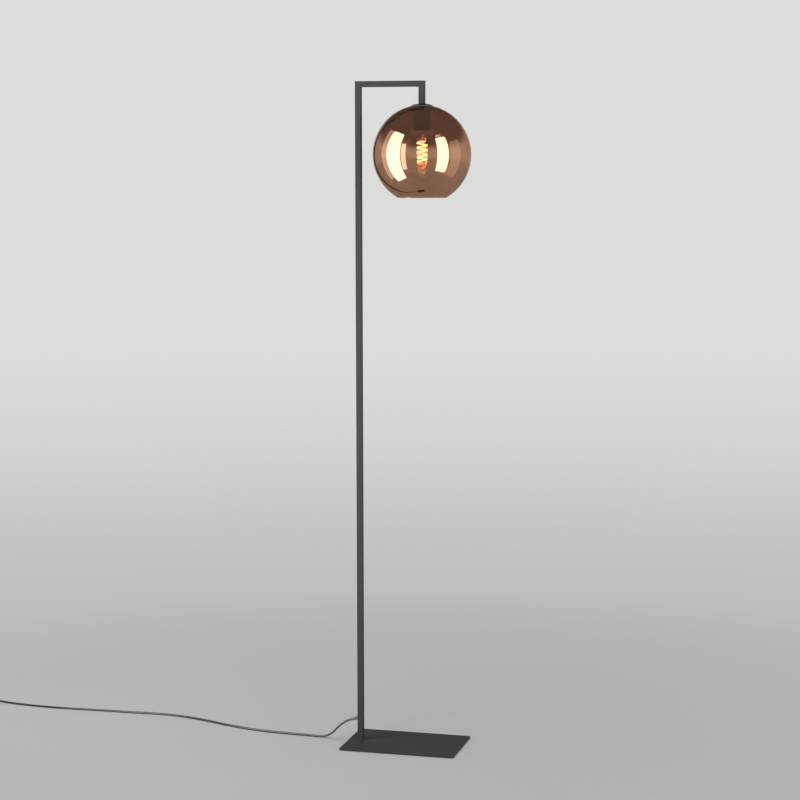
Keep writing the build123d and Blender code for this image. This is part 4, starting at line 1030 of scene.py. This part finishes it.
def world():
    """Pale all round, a little darker below and much darker overhead."""
    made = bpy.data.worlds.new("studio")
    bpy.context.scene.world = made
    made.use_nodes = True
    tree = made.node_tree
    background = tree.nodes["Background"]
    way = tree.nodes.new("ShaderNodeTexCoord").outputs["Generated"]
    height = tree.nodes.new("ShaderNodeSeparateXYZ")
    share = tree.nodes.new("ShaderNodeMapRange")
    share.inputs["From Min"].default_value = -WORLD_REACH
    share.inputs["From Max"].default_value = WORLD_REACH
    ramp = tree.nodes.new("ShaderNodeValToRGB")
    ramp.color_ramp.interpolation = "EASE"
    stops = ramp.color_ramp.elements
    for k, (position, colour) in enumerate(WORLD_RAMP):
        stop = stops[k] if k < len(stops) else stops.new(position)
        stop.position = position
        stop.color = opaque(colour)
    tree.links.new(way, height.inputs[0])
    tree.links.new(height.outputs["Z"], share.inputs["Value"])
    tree.links.new(share.outputs[0], ramp.inputs[0])
    tree.links.new(ramp.outputs[0], background.inputs[0])
    background.inputs[1].default_value = 1.0


def area_light(name, size, place, brightness):
    """A flat light of even brightness that faces down until it is turned."""
    data = bpy.data.lights.new(name, "AREA")
    data.shape = "RECTANGLE"
    data.size, data.size_y = size
    data.energy = brightness * pi * size[0] * size[1]
    light = add(name, data)
    light.location = place
    light.visible_camera = False
    return light


def softbox(name, bearing, distance, size, centre_z, brightness):
    target = Vector((DROP_X, 0, centre_z))
    angle = atan2(CAMERA_AT[1], CAMERA_AT[0] - DROP_X) + radians(bearing)
    place = target + Vector((cos(angle), sin(angle), 0)) * distance
    light = area_light(name, size, place, brightness)
    light.rotation_euler = (target - place).to_track_quat("-Z", "Y").to_euler()
    return light


def link(light, thing, state):
    """Keeps a light to one object with INCLUDE, or off it with EXCLUDE."""
    chosen = bpy.data.collections.new(f"{light.name}_{state.lower()}")
    chosen.objects.link(thing)
    chosen.collection_objects[0].light_linking.link_state = state
    light.light_linking.receiver_collection = chosen


def lights(ground):
    """The tall softboxes would leave hard-edged patches on the floor, so it has its own light."""
    for name, *settings in SOFTBOXES:
        light = softbox(name, *settings)
        if name in OFF_THE_FLOOR:
            link(light, ground, "EXCLUDE")
    link(area_light("floor_wash", WASH_SIZE, WASH_AT, WASH_BRIGHTNESS), ground, "INCLUDE")


# ---------------------------------------------------------------- the scene
make_camera()
near_cord, near_exit = cord_to_switch()
far_cord, far_exit = cord_to_plug()
dress_cad_nodes()
dress(near_cord, "cord_sheath", "frame")
dress(far_cord, "cord_sheath", "frame")
shade_glass()
bulb_glass()
bulb_cap()
filament()
holder_sleeve()
holder_shell()
shade_ring()
strain_relief()
cover = switch_cover()
button = switch_button()
spring = return_spring()
bushes = switch_bushes()
plug_pieces = plug()

ground = floor()
world()
lights(ground)
bpy.context.scene.view_settings.view_transform = "Standard"
